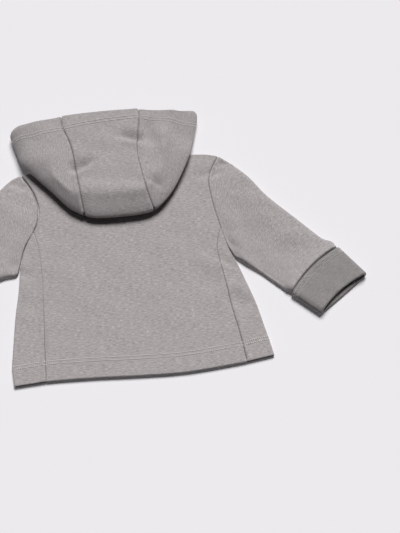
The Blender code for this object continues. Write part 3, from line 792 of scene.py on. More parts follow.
@dataclass
class Wardrobe:
    """The materials, each made once."""

    outside: Material
    inside: Material
    thread: Material
    pale_thread: Material
    # painted shade for the needle holes
    needle_hole: Material

    @classmethod
    def made(cls) -> "Wardrobe":
        """Makes every material."""
        yarn, loops = Melange().group(), Loops().group()
        return cls(OUTSIDE.material(yarn, loops), INSIDE.material(yarn, loops), THREAD.material(),
                   PALE_THREAD.material(), PAINTED_HOLE_SHADE.material())


# ---- meshes ----
def mesh_object(name: str, points: Array, faces: Array, materials: list[Material],
                slots: Array | None = None, flat: Array | None = None) -> Object:
    """An object with a smooth mesh of equal-sided faces.

    Args:
        name: the piece's name.
        points: its points in millimetres.
        faces: rows of three or four point numbers.
        materials: its materials.
        slots: which material each face takes.
        flat: the place of each face corner on the flat cloth, in millimetres.
    Returns:
        The object, linked to the scene.
    """
    sides = faces.shape[1]
    mesh = bpy.data.meshes.new(name)
    mesh.vertices.add(len(points))
    mesh.vertices.foreach_set("co", (points * MM).astype(np.float32).ravel())
    mesh.loops.add(faces.size)
    mesh.loops.foreach_set("vertex_index", faces.astype(np.int32).ravel())
    mesh.polygons.add(len(faces))
    mesh.polygons.foreach_set("loop_start", np.arange(0, faces.size, sides, dtype=np.int32))
    if slots is not None:
        mesh.polygons.foreach_set("material_index", slots.astype(np.int32))
    mesh.update(calc_edges=True)
    for material in materials:
        mesh.materials.append(material)
    if flat is not None:
        layer = mesh.uv_layers.new(name=UV_NAME)
        layer.data.foreach_set("uv", (flat * MM).astype(np.float32).ravel())
    mesh.validate()
    mesh.shade_smooth()
    piece = bpy.data.objects.new(name, mesh)
    bpy.context.scene.collection.objects.link(piece)
    return piece


LOWEST = -0.1  # height of the lowest point of the garment
RIM_STEPS = 3  # points round a cloth's edge, between its outer and its inner face


def pressed(points: Array) -> Array:
    """The points with those that would sink into the ground pressed flat on it."""
    return np.concatenate([points[:, :2], np.maximum(points[:, 2:], LOWEST)], axis=1)


@dataclass
class Shell:
    """A wall of cloth round a grid of points half way through it."""

    name: str
    grid: Array  # rows, columns, 3
    flat: Array  # its place on the flat cloth; one more column where it wraps
    wraps: bool = False  # its columns close on themselves
    extra: Array | float = 0.0  # more thickness on the inner side
    turned: bool = False  # its columns run the other way, so that its outer face is outside

    def __post_init__(self) -> None:
        """Turns the grid so that its normals point out of the garment."""
        shape = self.grid.shape[:2]
        self.extra = np.broadcast_to(np.asarray(self.extra, float), shape)
        if self.turned:
            self.grid = self.grid[:, ::-1]
            self.flat = self.flat[:, ::-1]
            self.extra = self.extra[:, ::-1]

    def raised(self, amount: Array) -> "Shell":
        """Moves its points out along their normals.

        Args:
            amount: how far each point moves, in the order of the grid that it was made from.
        Returns:
            The shell itself.
        """
        amount = amount[:, ::-1] if self.turned else amount
        self.grid = self.grid + grid_normals(self.grid, self.wraps) * amount[..., None]
        return self

    def rim(self) -> list[tuple[Array, Array]]:
        """Its edges.

        Returns:
            The row and column numbers of each edge's points, as a closed loop.
        """
        rows, columns = self.grid.shape[:2]
        every = np.arange(columns)
        if self.wraps:
            first = np.zeros(columns, int)
            return [(first, every), (first + rows - 1, every[::-1])]
        down = np.arange(1, rows)
        row = np.concatenate([np.zeros(columns, int), down, np.full(columns - 1, rows - 1),
                              down[-2::-1]])
        column = np.concatenate([every, np.full(rows - 1, columns - 1), every[-2::-1],
                                 np.zeros(rows - 2, int)])
        return [(row, column)]

    def build(self, outside: Material, inside: Material, half: float = CLOTH.half) -> Object:
        """Makes the closed mesh: both faces, and between them an edge rounded as a half circle.

        Args:
            outside: material of the outer face and the edge.
            inside: material of the inner face.
            half: half the cloth's thickness.
        Returns:
            The piece.
        """
        grid, wraps = self.grid, self.wraps
        rows, columns = grid.shape[:2]
        normal = grid_normals(grid, wraps)
        outer = grid + normal * half
        inner = grid - normal * (half + self.extra[..., None])
        number = np.arange(rows * columns).reshape(rows, columns)
        flat_number = np.arange(self.flat.shape[0] * self.flat.shape[1]).reshape(self.flat.shape[:2])
        around = closed(number) if wraps else number
        quads = [quad_rows(around), quad_rows(around)[:, ::-1] + rows * columns]
        flats = [quad_rows(flat_number), quad_rows(flat_number)[:, ::-1]]
        slots = [np.zeros(len(quads[0])), np.ones(len(quads[0]))]
        points = [outer.reshape(-1, 3), inner.reshape(-1, 3)]
        places = [self.flat.reshape(-1, 2)]
        count, flat_count = 2 * rows * columns, flat_number.size
        for row, column in self.rim():
            inner_row = np.clip(row, 1, rows - 2)
            inner_column = column if wraps else np.clip(column, 1, columns - 2)
            away = grid[row, column] - grid[inner_row, inner_column]
            top, bottom = outer[row, column], inner[row, column]
            middle, up = (top + bottom) / 2, (top - bottom) / 2
            radius = np.linalg.norm(up, axis=1, keepdims=True)
            away = unit(away - (away * up).sum(1, keepdims=True) * up / radius ** 2) * radius
            angle = np.pi * np.arange(1, RIM_STEPS + 1) / (RIM_STEPS + 1)
            bend = middle + np.cos(angle)[:, None, None] * up + np.sin(angle)[:, None, None] * away
            points.append(bend.reshape(-1, 3))
            size = len(row)
            rim_number = count + np.arange(RIM_STEPS * size).reshape(RIM_STEPS, size)
            levels = closed(np.concatenate([number[row, column][None], rim_number,
                                            number[row, column][None] + rows * columns]))
            count += RIM_STEPS * size
            edge = self.flat[row, column]
            out = unit(edge - self.flat[inner_row, inner_column])
            far = np.arange(RIM_STEPS + 2)[:, None, None] * math.pi * half / (RIM_STEPS + 1)
            strip = edge + out * far
            last = strip[:, :1]
            if wraps:
                last = self.flat[row[:1], -1 if column[0] == 0 else 0] + out[:1] * far
            places.append(np.concatenate([strip, last], axis=1).reshape(-1, 2))
            strip_number = flat_count + np.arange(levels.size).reshape(levels.shape)
            flat_count += levels.size
            quads.append(quad_rows(levels)[:, [1, 0, 3, 2]])
            flats.append(quad_rows(strip_number)[:, [1, 0, 3, 2]])
            slots.append(np.zeros(len(quads[-1])))
        corner_places = np.concatenate(places)[np.concatenate(flats)]
        return mesh_object(self.name, pressed(np.concatenate(points)), np.concatenate(quads),
                           [outside, inside], np.concatenate(slots), corner_places)

    def line(self, distance: Array | float, last: bool = False, lift: float = 0.0) -> tuple[Array, Array]:
        """A line on the outer face at a distance from its first (or last) row.

        Args:
            distance: how far from the row, walked along each column.
            last: measure from the last row instead.
            lift: how far above the outer face, or below it where negative.
        Returns:
            Its points and the normals there.
        """
        grid = self.grid[::-1] if last else self.grid
        normal = grid_normals(self.grid, self.wraps)
        normal = normal[::-1] if last else normal
        length = walked(grid, 0)
        row = np.clip((length < distance).sum(0), 1, len(grid) - 1)
        column = np.arange(grid.shape[1])
        before, after = length[row - 1, column], length[row, column]
        share = ((distance - before) / np.maximum(after - before, TINY))[:, None]
        points = grid[row - 1, column] * (1 - share) + grid[row, column] * share
        normals = unit(normal[row - 1, column] * (1 - share) + normal[row, column] * share)
        return points + normals * (CLOTH.half + lift), normals


def quad_rows(number: Array) -> Array:
    """The faces of a grid of point numbers, as rows of four."""
    return np.stack([number[:-1, :-1], number[:-1, 1:], number[1:, 1:], number[1:, :-1]],
                    axis=-1).reshape(-1, 4)


def unrolled(grid: Array, start: Array, direction: Array, wraps: bool = False) -> Array:
    """Places on the flat cloth: each row laid out straight from its start, at its real length.

    Args:
        grid: the rows to lay out.
        start: where each row begins, or one place for all.
        direction: which way each row runs, or one direction for all.
        wraps: adds the column where a closed row meets itself.
    Returns:
        Rows by columns by 2.
    """
    if wraps:
        grid = closed(grid)
    start = np.broadcast_to(start, (len(grid), 2))[:, None]
    direction = np.broadcast_to(unit(np.asarray(direction, float)), (len(grid), 2))[:, None]
    return start + direction * walked(grid, 1)[..., None]


def up_cloth(distances: Array) -> Array:
    """Places on the flat cloth straight up from its origin, at these distances."""
    return distances[:, None] * np.array([[0.0, 1.0]])


def cut_out(flat: Array, cut: Cut, degrees: float = 0.0, sign: int = 1) -> Array:
    """The places turned, so that the courses run as they were cut, and moved to the panel's own spot.

    Args:
        flat: the places.
        cut: which kind of panel it is.
        degrees: the turn about the flat cloth's origin.
        sign: -1 moves the left panel of a pair to the other half of the cloth.
    Returns:
        The new places.
    """
    angle = math.radians(degrees)
    turn = np.array([[math.cos(angle), -math.sin(angle)], [math.sin(angle), math.cos(angle)]])
    x, y = cut.value
    return flat @ turn.T + np.array([x, y * sign])


def from_folds(upper: Array, columns: int) -> Array:
    """Distance from the upper layer's points to the nearer fold of a tube, and 0 for the lower layer's."""
    along = walked(upper, 1)
    return filled(np.minimum(along, run_back(along)), columns)


def filled(upper: Array, columns: int, filler: float = 0.0) -> Array:
    """The upper layer's values, with a filler for the rest of each ring's columns."""
    return np.concatenate([upper, np.full((len(upper), columns - upper.shape[1]), filler)], axis=1)


# ---- body ----
SHOULDER_END = 0.318  # share of the width where a shoulder ends and the neck begins


@dataclass
class Body:
    """Back, front and side panels."""

    cloth: Cloth = CLOTH
    pitch: float = 1.75
    front_pitch: float = 2.8
    ripple: Pair = (58.0, 0.35)  # size and height of its unevenness
    shoulder_curl: float = 8.0  # the shoulders' roll to the front grows over this width
    front_short: float = 1.8  # the front's hem lies this far behind the back's
    hem_blend: Pair = (0.8, 2.4)  # in hem depths: the hem's height ends and the back's begins
    loose_hem: Pair = (6.0, 45.0)  # creases grow between these distances from the hem
    loose_top: Pair = (2.0, 22.0)  # and between these from the shoulders
    seam_start: float = 3.0  # a seam's pull grows from the hem's edge over this length
    under_relief: float = 0.45  # share of the relief on a layer that lies underneath
    flat_end: float = 0.9  # a side panel's even columns end at this share of its width
    fold_columns: int = 8  # columns round half of its fold
    bow_power: int = 8  # the armhole's bow dies out as this power of the height
    calm: Pair = (1.0, 10.0)  # its relief grows between these distances from the fold
    tip_clear: float = 1.0  # the top of its fold lies this much farther inside its outline
    tip_fade: Pair = (5.0, 14.0)  # in columns from the fold
    pucker_shift: float = 50.0  # the sides' puckers start at another place
    folds: tuple[Fold, ...] = (
        Fold((104, 2), (131, -18), 6.5, 2.2, fade=(0.6, 0.0), lean=0.3),
        Fold((78, 9), (126, -33), 16, -1.9, fade=(0.5, 0.2)),
        Fold((66, -5), (116, -47), 17, 1.9, fade=(0.5, 0.2)),
        Fold((70, 8), (112, 4), 10, 0.9),
        Fold((124, -46), (154, -64), 13, -1.6, fade=(0.3, 0.2)),
        Fold((118, -64), (150, -84), 14, 1.7, fade=(0.4, 0.2)),
        Fold((122, -20), (140, -52), 6, 0.9, fade=(0.2, 0.4)),
        Fold((-147, 6), (-126, -10), 6, 1.8, fade=(0.0, 0.6)),
        Fold((-152, -30), (-124, -62), 9, 1.2, fade=(0.3, 0.4)),
        Fold((-100, 62), (-96, 10), 14, 0.8),
        Fold((60, 112), (100, 130), 10, 1.0, fade=(0.2, 0.4)),
        Fold((100, 122), (120, 129), 6.5, 2.0, fade=(0.5, 0.0), lean=0.35),
        Fold((-94, 100), (-70, 128), 12, 1.0),
    )

    def top_height(self, plan: Array) -> Array:
        """Middle of the upper layer: the hem's height, blended into the back's above it.

        Args:
            plan: the points.
        Returns:
            Their heights.
        """
        from_hem = plan[..., 1] - HEM.y_at(plan[..., 0])
        start, end = (self.cloth.hem_depth * share for share in self.hem_blend)
        hem_share = 1.0 - smooth_step(from_hem, start, end)
        return self.cloth.back_z + (self.cloth.hem_back_z - self.cloth.back_z) * hem_share

    def relief(self, plan: Array) -> Array:
        """Creases and unevenness of the upper layer, kept off the hem and the shoulder folds.

        Args:
            plan: the points.
        Returns:
            The height to add.
        """
        from_hem = plan[..., 1] - HEM.y_at(plan[..., 0])
        from_top = SHOULDERS.y_at(plan[..., 0]) - plan[..., 1]
        loose = smooth_step(from_hem, *self.loose_hem) * smooth_step(from_top, *self.loose_top)
        return (folded(self.folds, plan) + waves(plan, 3, *self.ripple)) * loose

    def side_edge(self, hand: Hand, rows: Array, armhole: Array) -> Array:
        """Points from the hem up the back seam and the armhole to the shoulder."""
        cut = CUTS[hand]
        return np.concatenate([cut.seam.at(rows), cut.armhole_back.back().at(armhole)[1:]])

    def panel(self, name: str, neck: Curve, on_top: bool) -> Shell:
        """The back or the front.

        Args:
            name: the piece's name.
            neck: its neckline.
            on_top: it is the back, which lies on top.
        Returns:
            The cloth.
        """
        cloth = self.cloth
        pitch = self.pitch if on_top else self.front_pitch
        rows = spaced(CUTS[Hand.RIGHT].seam.length(), pitch, far=False, dense=cloth.pair(cloth.hem_row))
        armhole = spaced(CUTS[Hand.RIGHT].armhole_back.length(), pitch, near=False)
        left, right = (self.side_edge(hand, rows, armhole) for hand in Hand)
        width = right[0, 0] - left[0, 0]
        shoulder = spaced(width * SHOULDER_END, pitch, far=False)
        neck_share = 1 - 2 * SHOULDER_END
        across = np.linspace(0.0, 1.0, int(width * neck_share / pitch))
        u = np.concatenate([shoulder * SHOULDER_END, SHOULDER_END + across[1:] * neck_share,
                            1.0 - shoulder[-2::-1] * SHOULDER_END])
        hem_x = left[0, 0] + width * u
        low = np.stack([hem_x, HEM.y_at(hem_x)], axis=1)
        high = np.concatenate([
            Curve(SHOULDERS.spots[:3]).at(shoulder),
            neck.at(across)[1:],
            Curve((neck.spots[-1], *SHOULDERS.spots[5:])).at(1.0 - shoulder[::-1])[1:],
        ])
        v = (left[:, 1] + right[:, 1]) / 2
        v = (v - v[0]) / (v[-1] - v[0])
        left[0], right[0] = low[0], low[-1]
        plan = coons(low, high, left, right, u, v)
        below = np.arange(len(plan)) < len(rows)
        sides = (walked(plan, 1), walked(plan[:, ::-1], 1)[:, ::-1])
        beside = sum(
            cloth.seam(side, pull=np.where(below, CUTS[hand].seam_pull, CUTS[hand].armhole_pull)[:, None])
            for hand, side in zip(Hand, sides))
        from_top = walked(plan[::-1], 0)[::-1]
        from_hem = walked(plan, 0)
        radius = cloth.fold_radius
        curl = smooth_step(np.abs(high[:, 0]), neck.spots[-1][0], neck.spots[-1][0] + self.shoulder_curl)
        drop = (1.0 - quarter_round(from_top / radius)) * curl * radius
        if on_top:
            height = self.top_height(plan) + self.relief(plan) - drop
        else:
            height = cloth.front_z + drop
        edges = [np.where(below, cloth.seam_in, CUTS[hand].armhole_in) for hand in Hand]
        grid = edged(joined(plan, height), first_row=cloth.edge_in + (0.0 if on_top else self.front_short),
                     last_row=cloth.seam_in, first_column=edges[0], last_column=edges[1])
        relief = beside * smooth_step(from_hem, 0.0, self.seam_start)
        relief = relief + cloth.stitched(from_hem, plan[..., 0], cloth.hem_row)
        shell = Shell(name, grid, cut_out(plan, Cut.BACK if on_top else Cut.FRONT),
                      extra=cloth.doubled(from_hem, cloth.hem_depth), turned=not on_top)
        return shell.raised(relief * (1.0 if on_top else self.under_relief))

    def side(self, hand: Hand) -> Shell:
        """One side panel: from the back seam round the fold to the front seam.

        Args:
            hand: which side.
        Returns:
            The cloth.
        """
        cloth, cut = self.cloth, CUTS[hand]
        rows = spaced(cut.seam.length(), self.pitch, dense=cloth.pair(cloth.hem_row))
        seam, fold = cut.seam.at(rows), cut.fold.at(rows)
        seam[0, 1] = HEM.y_at(seam[0, 0])
        radius = (self.top_height(fold) - cloth.front_z) / 2
        width = np.linalg.norm(seam - fold, axis=1)
        flat_share = spaced(float(width.mean()), self.pitch, far=False)
        flat_share = flat_share[flat_share < self.flat_end]
        angles = np.linspace(math.pi / 2, 0.0, self.fold_columns)
        to_fold = radius[:, None] * (1.0 - np.cos(angles)) / width[:, None]
        q = np.concatenate([np.broadcast_to(flat_share * (1 - to_fold[:, :1]),
                                            (len(rows), len(flat_share))), 1.0 - to_fold], axis=1)
        plan = seam[:, None] + (fold - seam)[:, None] * q[..., None]
        bow = cut.armhole_side.at(q[-1]) - plan[-1]
        plan = plan + bow[None] * rows[:, None, None] ** self.bow_power
        from_fold = (1.0 - q) * width[:, None]
        around = radius[:, None] * quarter_round(from_fold / radius[:, None])
        centre = cloth.front_z + radius[:, None]
        away = smooth_step(from_fold, *self.calm)
        upper = joined(plan, centre + around + self.relief(plan) * away)
        upper[..., 2] += (self.top_height(plan) - self.top_height(fold)[:, None]) * away
        grid = np.concatenate([upper, joined(plan, centre - around)[:, -2::-1]], axis=1)
        round_fold = seam[:, :1] + hand.value * walked(grid[..., [0, 2]], 1)
        flat = cut_out(np.stack([round_fold, grid[..., 1]], axis=-1), Cut.SIDE, sign=hand.value)
        middle = (grid.shape[1] - 1) / 2
        column = np.arange(grid.shape[1])
        clear = cloth.seam_in + self.tip_clear * (1.0 - smooth_step(np.abs(column - middle), *self.tip_fade))
        from_seam = np.minimum(walked(grid, 1), walked(grid[:, ::-1], 1)[:, ::-1])
        from_hem = walked(grid, 0)
        from_top = walked(grid[::-1], 0)[::-1]
        along = walked(grid, 1) * hand.value + self.pucker_shift * hand.value
        grid = edged(grid, first_row=cloth.edge_in, last_row=clear,
                     first_column=cloth.seam_in, last_column=cloth.seam_in)
        relief = (cloth.seam(from_seam, lifted=True, pull=cut.seam_pull)
                  * smooth_step(from_hem, 0.0, self.seam_start)
                  + cloth.seam(from_top, pull=cut.armhole_pull))
        relief = relief + cloth.stitched(from_hem, along, cloth.hem_row)
        shell = Shell(f"side_panel_{hand.name.lower()}", grid, flat, turned=hand is Hand.LEFT)
        return shell.raised(relief * np.where(column > middle, self.under_relief, 1.0))


EDGE_REACH = 3.0  # lines nearer than this to an edge are shifted with it


def edged(grid: Array, first_row: Array | float = 0.0, last_row: Array | float = 0.0,
          first_column: Array | float = 0.0, last_column: Array | float = 0.0) -> Array:
    """The grid with its outer lines moved inwards by these distances, and those near them shifted on.

    Args:
        grid: the points.
        first_row: distance for the first row.
        last_row: distance for the last row.
        first_column: distance for the first column.
        last_column: distance for the last column.
    Returns:
        The new grid.
    """
    grid = grid.copy()
    for axis, amount, reverse in ((0, first_row, False), (0, last_row, True),
                                  (1, first_column, False), (1, last_column, True)):
        view = np.moveaxis(grid, axis, 0)
        if reverse:
            view = view[::-1]
        inward = unit(view[2] - view[0])
        length = walked(view, 0)
        amount = np.broadcast_to(np.asarray(amount, float), view.shape[1:2])
        share = np.clip(1.0 - length / EDGE_REACH, 0.0, 1.0)
        view += inward[None] * (share * amount)[..., None]
    return grid


# ---- sleeves ----
@dataclass(frozen=True)
class Profile:
    """Numbers that change along a tube, read smoothly by their first one."""

    spots: Spots

    def at(self, where: Array) -> Array:
        """The other numbers, on a Catmull-Rom curve through the spots.

        Args:
            where: values of the first number.
        Returns:
            One row for each other number.
        """
        dense = Curve(self.spots).dense(16)
        dense = dense[np.argsort(dense[:, 0], kind="stable")]
        return between(where, dense[:, 0], dense[:, 1:]).T


def tube(plan: Array, bow: Array, centre: Array, up: Array, down: Array, round_up: Array,
         round_down: Array) -> Array:
    """Closed rings over lines of plan points, the upper layer out and the lower layer back.

    The upper layer's height is the centre plus up times a quarter circle of the distance from the
    fold over round_up. The lower layer's is the centre minus down times the same over round_down.

    Args:
        plan: rows of points across the tube.
        bow: how far the middle of each row's upper layer is moved.
        centre: height of the folds in each row.
        up: rise of the upper layer above them.
        down: fall of the lower layer below them.
        round_up: width of the upper layer's rounding.
        round_down: width of the lower layer's.
    Returns:
        Rings by points by 3.
    """
    along = walked(plan, 1)
    edge = np.minimum(along, run_back(along))
    share = along / along[:, -1:]
    plan_up = plan + 4.0 * (share * (1.0 - share))[..., None] * bow[:, None]  # 1 in the middle
    centre, up, down = centre[:, None], up[:, None], down[:, None]
    upper = joined(plan_up, centre + up * quarter_round(edge / round_up[:, None]))
    lower = joined(plan, centre - down * quarter_round(edge / round_down[:, None]))
    return np.concatenate([upper, lower[:, -2:0:-1]], axis=1)


@dataclass
class Sleeve:
    """A sleeve and its turned-back cuff."""

    hand: Hand
    cloth: Cloth = CLOTH
    pitch: float = 1.8
    top: float = 9.0  # middle of the upper layer
    rounding: float = 7.0  # width of its rounded edge
    drop: float = -0.4  # its fold lies this much higher than the body's
    lift: float = 2.4  # distance between the two layers of the cuff
    free_edge: float = 3.1  # distance from the swelling to the cuff's free edge
    cuff_rounding: float = 5.0
    sag: float = 0.6  # the folds lie this much below the middle of the cuff's layers
    slump: float = 4.3  # the upper layer falls this much from its outer fold inwards,
    slump_share: Pair = (0.02, 0.62)  # between these shares of its width,
    slump_before: Pair = (3.0, 34.0)  # growing over these distances from the swelling
    slump_past: Pair = (8.0, 55.0)  # and from the armhole
    bow: float = 5.5  # the middle of the upper layer is moved back by this,
    bow_start: float = 0.3  # from this share of the length on
    rise: float = 0.25  # it is at its own height from this share of the length on
    loose: Pair = (1.0, 9.0)  # creases grow over these distances from a fold or the armhole
    loose_before: Pair = (-0.5, 6.0)  # and from the swelling
    ripple: Pair = (46.0, 0.45)  # size and height of the sleeve's unevenness
    cuff_ripple: Pair = (30.0, 0.35)
    tip_clear: float = 1.0  # the armhole's end at the fold lies this much farther inside
    tip_fade: Pair = (4.0, 14.0)  # in columns from the fold
    fine_start: float = 8.0  # rows are finer from this far before the swelling's line on
    fine_rows: Triple = (7.6, -5.0, -0.55)  # the first of them, their end and their step
    inner_rows: Pair = (6.0, 5.8)  # first row in the cuff past that line, and last from the mouth
    inner_count: int = 16
    merge: Pair = (7.0, 16.0)  # it takes up the cuff's direction between these distances,
    level: Pair = (3.0, 20.0)  # the cuff's height between these
    inside: Pair = (-2.0, 0.5)  # and the rounding of the layer in the cuff between these
    roll: tuple[float, int] = (80.0, 13)  # half angle of the roll at the mouth, and its rows
    inside_rows: tuple[float, ...] = (5.6, 4.4, 3.4, 2.5, 1.8)  # rows in from the mouth
    free_start: float = 2.4  # even rows end this far before the free edge
    free_rows: tuple[float, ...] = (2.1, 1.6, 1.1, 0.7, 0.35, 0.0)
    inner_top: float = 8.0  # middle of the cuff's inner layer at the mouth
    cuff_loose: Pair = (2.0, 8.0)  # creases grow over these distances from its folds
    free_loose: Pair = (0.0, 3.0)  # and from its free edge
    outer: Pair = (1.2, 2.4)  # the laid-back layer's relief appears between these lifts
    groove: Pair = (0.25, 0.9)  # depth and width of the groove under a stitch row
    pucker: Ripple = Ripple(0.9, 1.3, 0.23, height=0.08)
    pucker_at: Pair = (5.5, 5.0)  # its distance from the free edge, and its width
    side_groove: float = 0.9  # depth of the groove along the cuff's fold at the inner side,
    side_groove_at: Pair = (2.3, 0.9)  # its distance from that fold, and its width
    wider: float = 1.6  # the cuff stands out this far at the inner side of the arm
    across: float = 128.0  # middling width
    # distance before the swelling's line, top, low, inset at the folds
    swelling: Spots = ((60, 9.0, 0.9, 0.0), (34, 8.8, 0.9, 0.0), (20, 8.4, 0.9, 0.0), (7, 9.4, 0.9, 0.4),
                       (3.4, 10.8, 1.0, 1.7), (1.4, 11.8, 1.6, 2.2), (0.4, 11.7, 2.4, 2.4),
                       (-0.5, 9.8, 3.0, 2.4), (-1.3, 7.8, 3.3, 2.2), (-4.5, 7.2, 3.3, 2.4),
                       (-14, 7.6, 3.3, 2.4), (-28, 8.0, 3.3, 2.4), (-47, 8.7, 3.3, 2.4))

    @property
    def cut(self) -> SideCut:
        """Its outlines."""
        return CUTS[self.hand]

    def frame(self) -> tuple[Array, Array, Array, float]:
        """The lines at both ends of the cuff.

        Returns:
            The swelling's line, the mouth's line, the way from one to the other and its length.
        """
        near = np.array([self.cut.sleeve_outer.spots[-1], self.cut.sleeve_inner.spots[-1]], float)
        far = np.array(self.cut.mouth, float)
        way = far.mean(0) - near.mean(0)
        return near, far, way / np.linalg.norm(way), float(np.linalg.norm(way))

    def shares(self) -> Array:
        """Shares across the tube, closer together at its folds."""
        return spaced(self.across, self.pitch)

    def cuff_lines(self, past: Array, inset: Array, wider: Array | float = 0.0) -> Array:
        """Plan points across the cuff.

        Args:
            past: how far each row lies past the swelling's line.
            inset: how far in from the outlines its ends lie.
            wider: how far out its end at the inner side of the arm is moved.
        Returns:
            Rows by points by 2.
        """
        near, far, _, length = self.frame()
        ends = near + (far - near) * (past / length)[:, None, None]
        across = unit(ends[:, 1] - ends[:, 0])
        ends = ends + np.stack([inset[:, None] * across, (wider - inset)[:, None] * across], axis=1)
        return ends[:, :1] + (ends[:, 1:] - ends[:, :1]) * self.shares()[None, :, None]

    def armhole(self) -> Array:
        """Points on the armhole from the shoulder's fold to the fold under the arm."""
        line = np.concatenate([self.cut.armhole_back.dense(), self.cut.armhole_sleeve.dense()[1:]])
        return read_line(line, self.shares())

    def rings(self) -> tuple[Array, Array]:
        """The tube's rings from the armhole to inside the cuff.

        Returns:
            The rings, and the distance of each before the swelling's line.
        """
        cut, cloth, w = self.cut, self.cloth, self.shares()
        near, _, way, length = self.frame()
        outer_length = (cut.sleeve_outer.length() + cut.sleeve_inner.length()) / 2
        far_rows = spaced(outer_length, self.pitch, far=False) * outer_length
        first, last = self.inner_rows
        before = np.concatenate([outer_length - far_rows[far_rows < outer_length - self.fine_start],
                                 np.arange(*self.fine_rows),
                                 np.linspace(-first, -(length - last), self.inner_count)])
        rows = np.clip(1.0 - before / outer_length, 0.0, 1.0)
        end = near[0] + (near[1] - near[0]) * w[:, None]
        plan = coons(self.armhole(), end, cut.sleeve_outer.at(rows), cut.sleeve_inner.at(rows), w, rows)
        swelling_start = self.swelling[0][0]
        top, low, inset = Profile(self.swelling).at(np.minimum(before, swelling_start))
        direct = self.cuff_lines(-before, inset)
        blend = (1.0 - smooth_step(before, *self.merge))[:, None, None]
        plan = plan * (1.0 - blend) + direct * blend
        swell = smooth_step(rows, 0.0, self.rise)
        far_top = cloth.back_z + (self.top - cloth.back_z) * swell
        top = np.where(before > swelling_start - 1.0, far_top, top)
        far_centre = cloth.front_z + cloth.fold_radius + self.drop * swell
        reach = cloth.fold_radius + (self.rounding - cloth.fold_radius) * swell
        at_cuff = 1.0 - smooth_step(before, *self.level)
        centre = far_centre + ((top + low) / 2 - self.sag - far_centre) * at_cuff
        reach = reach + (self.cuff_rounding - reach) * (1.0 - smooth_step(before, *self.inside))
        bow = -self.bow * way * smooth_step(rows, self.bow_start, 1.0)[:, None]
        return tube(plan, bow, centre, top - centre, centre - low, reach, centre - low), before

    def sleeve(self) -> Shell:
        """The sleeve's cloth, which runs on inside the cuff.

        Returns:
            The cloth.
        """
        cloth, sign = self.cloth, self.hand.value
        grid, before = self.rings()
        columns, count = grid.shape[1], len(self.shares())
        around = np.arange(columns)
        to_tip = np.abs(around - (count - 1))
        clear = self.cut.armhole_in + self.tip_clear * (1.0 - smooth_step(to_tip, *self.tip_fade))
        across = walked(grid[:, :count], 1)
        lying = filled(smooth_step(across / across[:, -1:], *self.slump_share), columns)
        from_armhole = walked(grid, 0)
        loose = (smooth_step(from_folds(grid[:, :count], columns), *self.loose)
                 * smooth_step(from_armhole, *self.loose))
        loose = loose * smooth_step(before, *self.loose_before)[:, None] * (around < count)
        ripple = waves(grid, 11 + sign, *self.ripple)
        ends = (smooth_step(before, *self.slump_before)[:, None]
                * smooth_step(from_armhole, *self.slump_past))
        grid[..., 2] += ((folded(self.cut.sleeve_folds, grid) + ripple) * loose
                         - self.slump * lying * loose * ends)
        grid = edged(grid, first_row=clear)
        start = up_cloth(walked(grid.mean(1)[None], 1)[0])
        flat = cut_out(unrolled(grid, start, (sign, 0.0), wraps=True), Cut.SLEEVE, 6.0 * sign, sign)
        shell = Shell(f"sleeve_{self.hand.name.lower()}_knit", grid, flat, wraps=True,
                      turned=self.hand is Hand.LEFT)
        return shell.raised(cloth.seam(from_armhole, pull=self.cut.armhole_pull))

    def cuff(self) -> Shell:
        """The end of the sleeve, rolled outwards at its mouth and laid back over the sleeve.

        Returns:
            The cloth.
        """
        cloth, sign, (_, _, way, length) = self.cloth, self.hand.value, self.frame()
        radius = self.lift / 2
        angle, steps = self.roll
        roll = np.radians(np.linspace(-angle, angle, steps))
        reach = length - self.free_edge - cloth.cuff_in
        even = np.arange(self.inside_rows[-1], reach - self.free_start, self.pitch * 0.85)
        outside = np.concatenate([even, reach - np.array(self.free_rows)])
        before_mouth = np.concatenate([self.inside_rows, radius * (1.0 - np.cos(roll)), outside])
        lift = np.concatenate([np.zeros(len(self.inside_rows)), radius * (1.0 + np.sin(roll)),
                               np.full(len(outside), self.lift)])
        past = length - before_mouth
        lines = self.cuff_lines(past, self.lift - lift, self.wider * lift / self.lift)
        inner_top = self.inner_top + np.clip(past / length, 0.0, 1.0)
        centre = (inner_top + cloth.front_z + self.lift) / 2 - self.sag
        low = cloth.front_z + self.lift - lift
        bow = np.broadcast_to(-self.bow * way, (len(past), 2))
        grid = tube(lines, bow, centre, inner_top + lift - centre, centre - low,
                    self.cuff_rounding + lift, centre - low)
        run, along = walked(grid, 0), walked(grid, 1)
        from_free = run[-1:] - run
        columns, count = grid.shape[1], len(self.shares())
        soft = (smooth_step(from_folds(grid[:, :count], columns), *self.cuff_loose)
                * smooth_step(from_free, *self.free_loose))
        on_top = smooth_step(lift, *self.outer)[:, None]
        grid[..., 2] += waves(grid, 31 + sign, *self.cuff_ripple) * soft * on_top
        depth, width = self.groove
        hem = sum(bell(from_free - row, width) for row in cloth.cuff_rows)
        middle, reach = self.pucker_at
        relief = (-depth * hem + self.pucker.at(along) * bell(from_free - middle, reach)) * on_top
        from_inner = filled(run_back(along[:, :count]), columns, FAR)
        at, width = self.side_groove_at
        relief = relief - self.side_groove * bell(from_inner - at, width) * on_top
        flat = unrolled(grid, up_cloth(past), (sign, 0.0), wraps=True)
        shell = Shell(f"cuff_{self.hand.name.lower()}_knit", grid, cut_out(flat, Cut.CUFF, 4.0, sign),
                      wraps=True, turned=self.hand is Hand.RIGHT)
        return shell.raised(relief)


# ---- hood ----
@dataclass(frozen=True)
class HoodCut:
    """Outlines of one side panel of the hood, seen from above."""

    sign: int
    rim: Curve
    upper_seam: Curve
    lip: Curve
    lower_seam: Curve
    neck_side: Spots
    turn: Spots


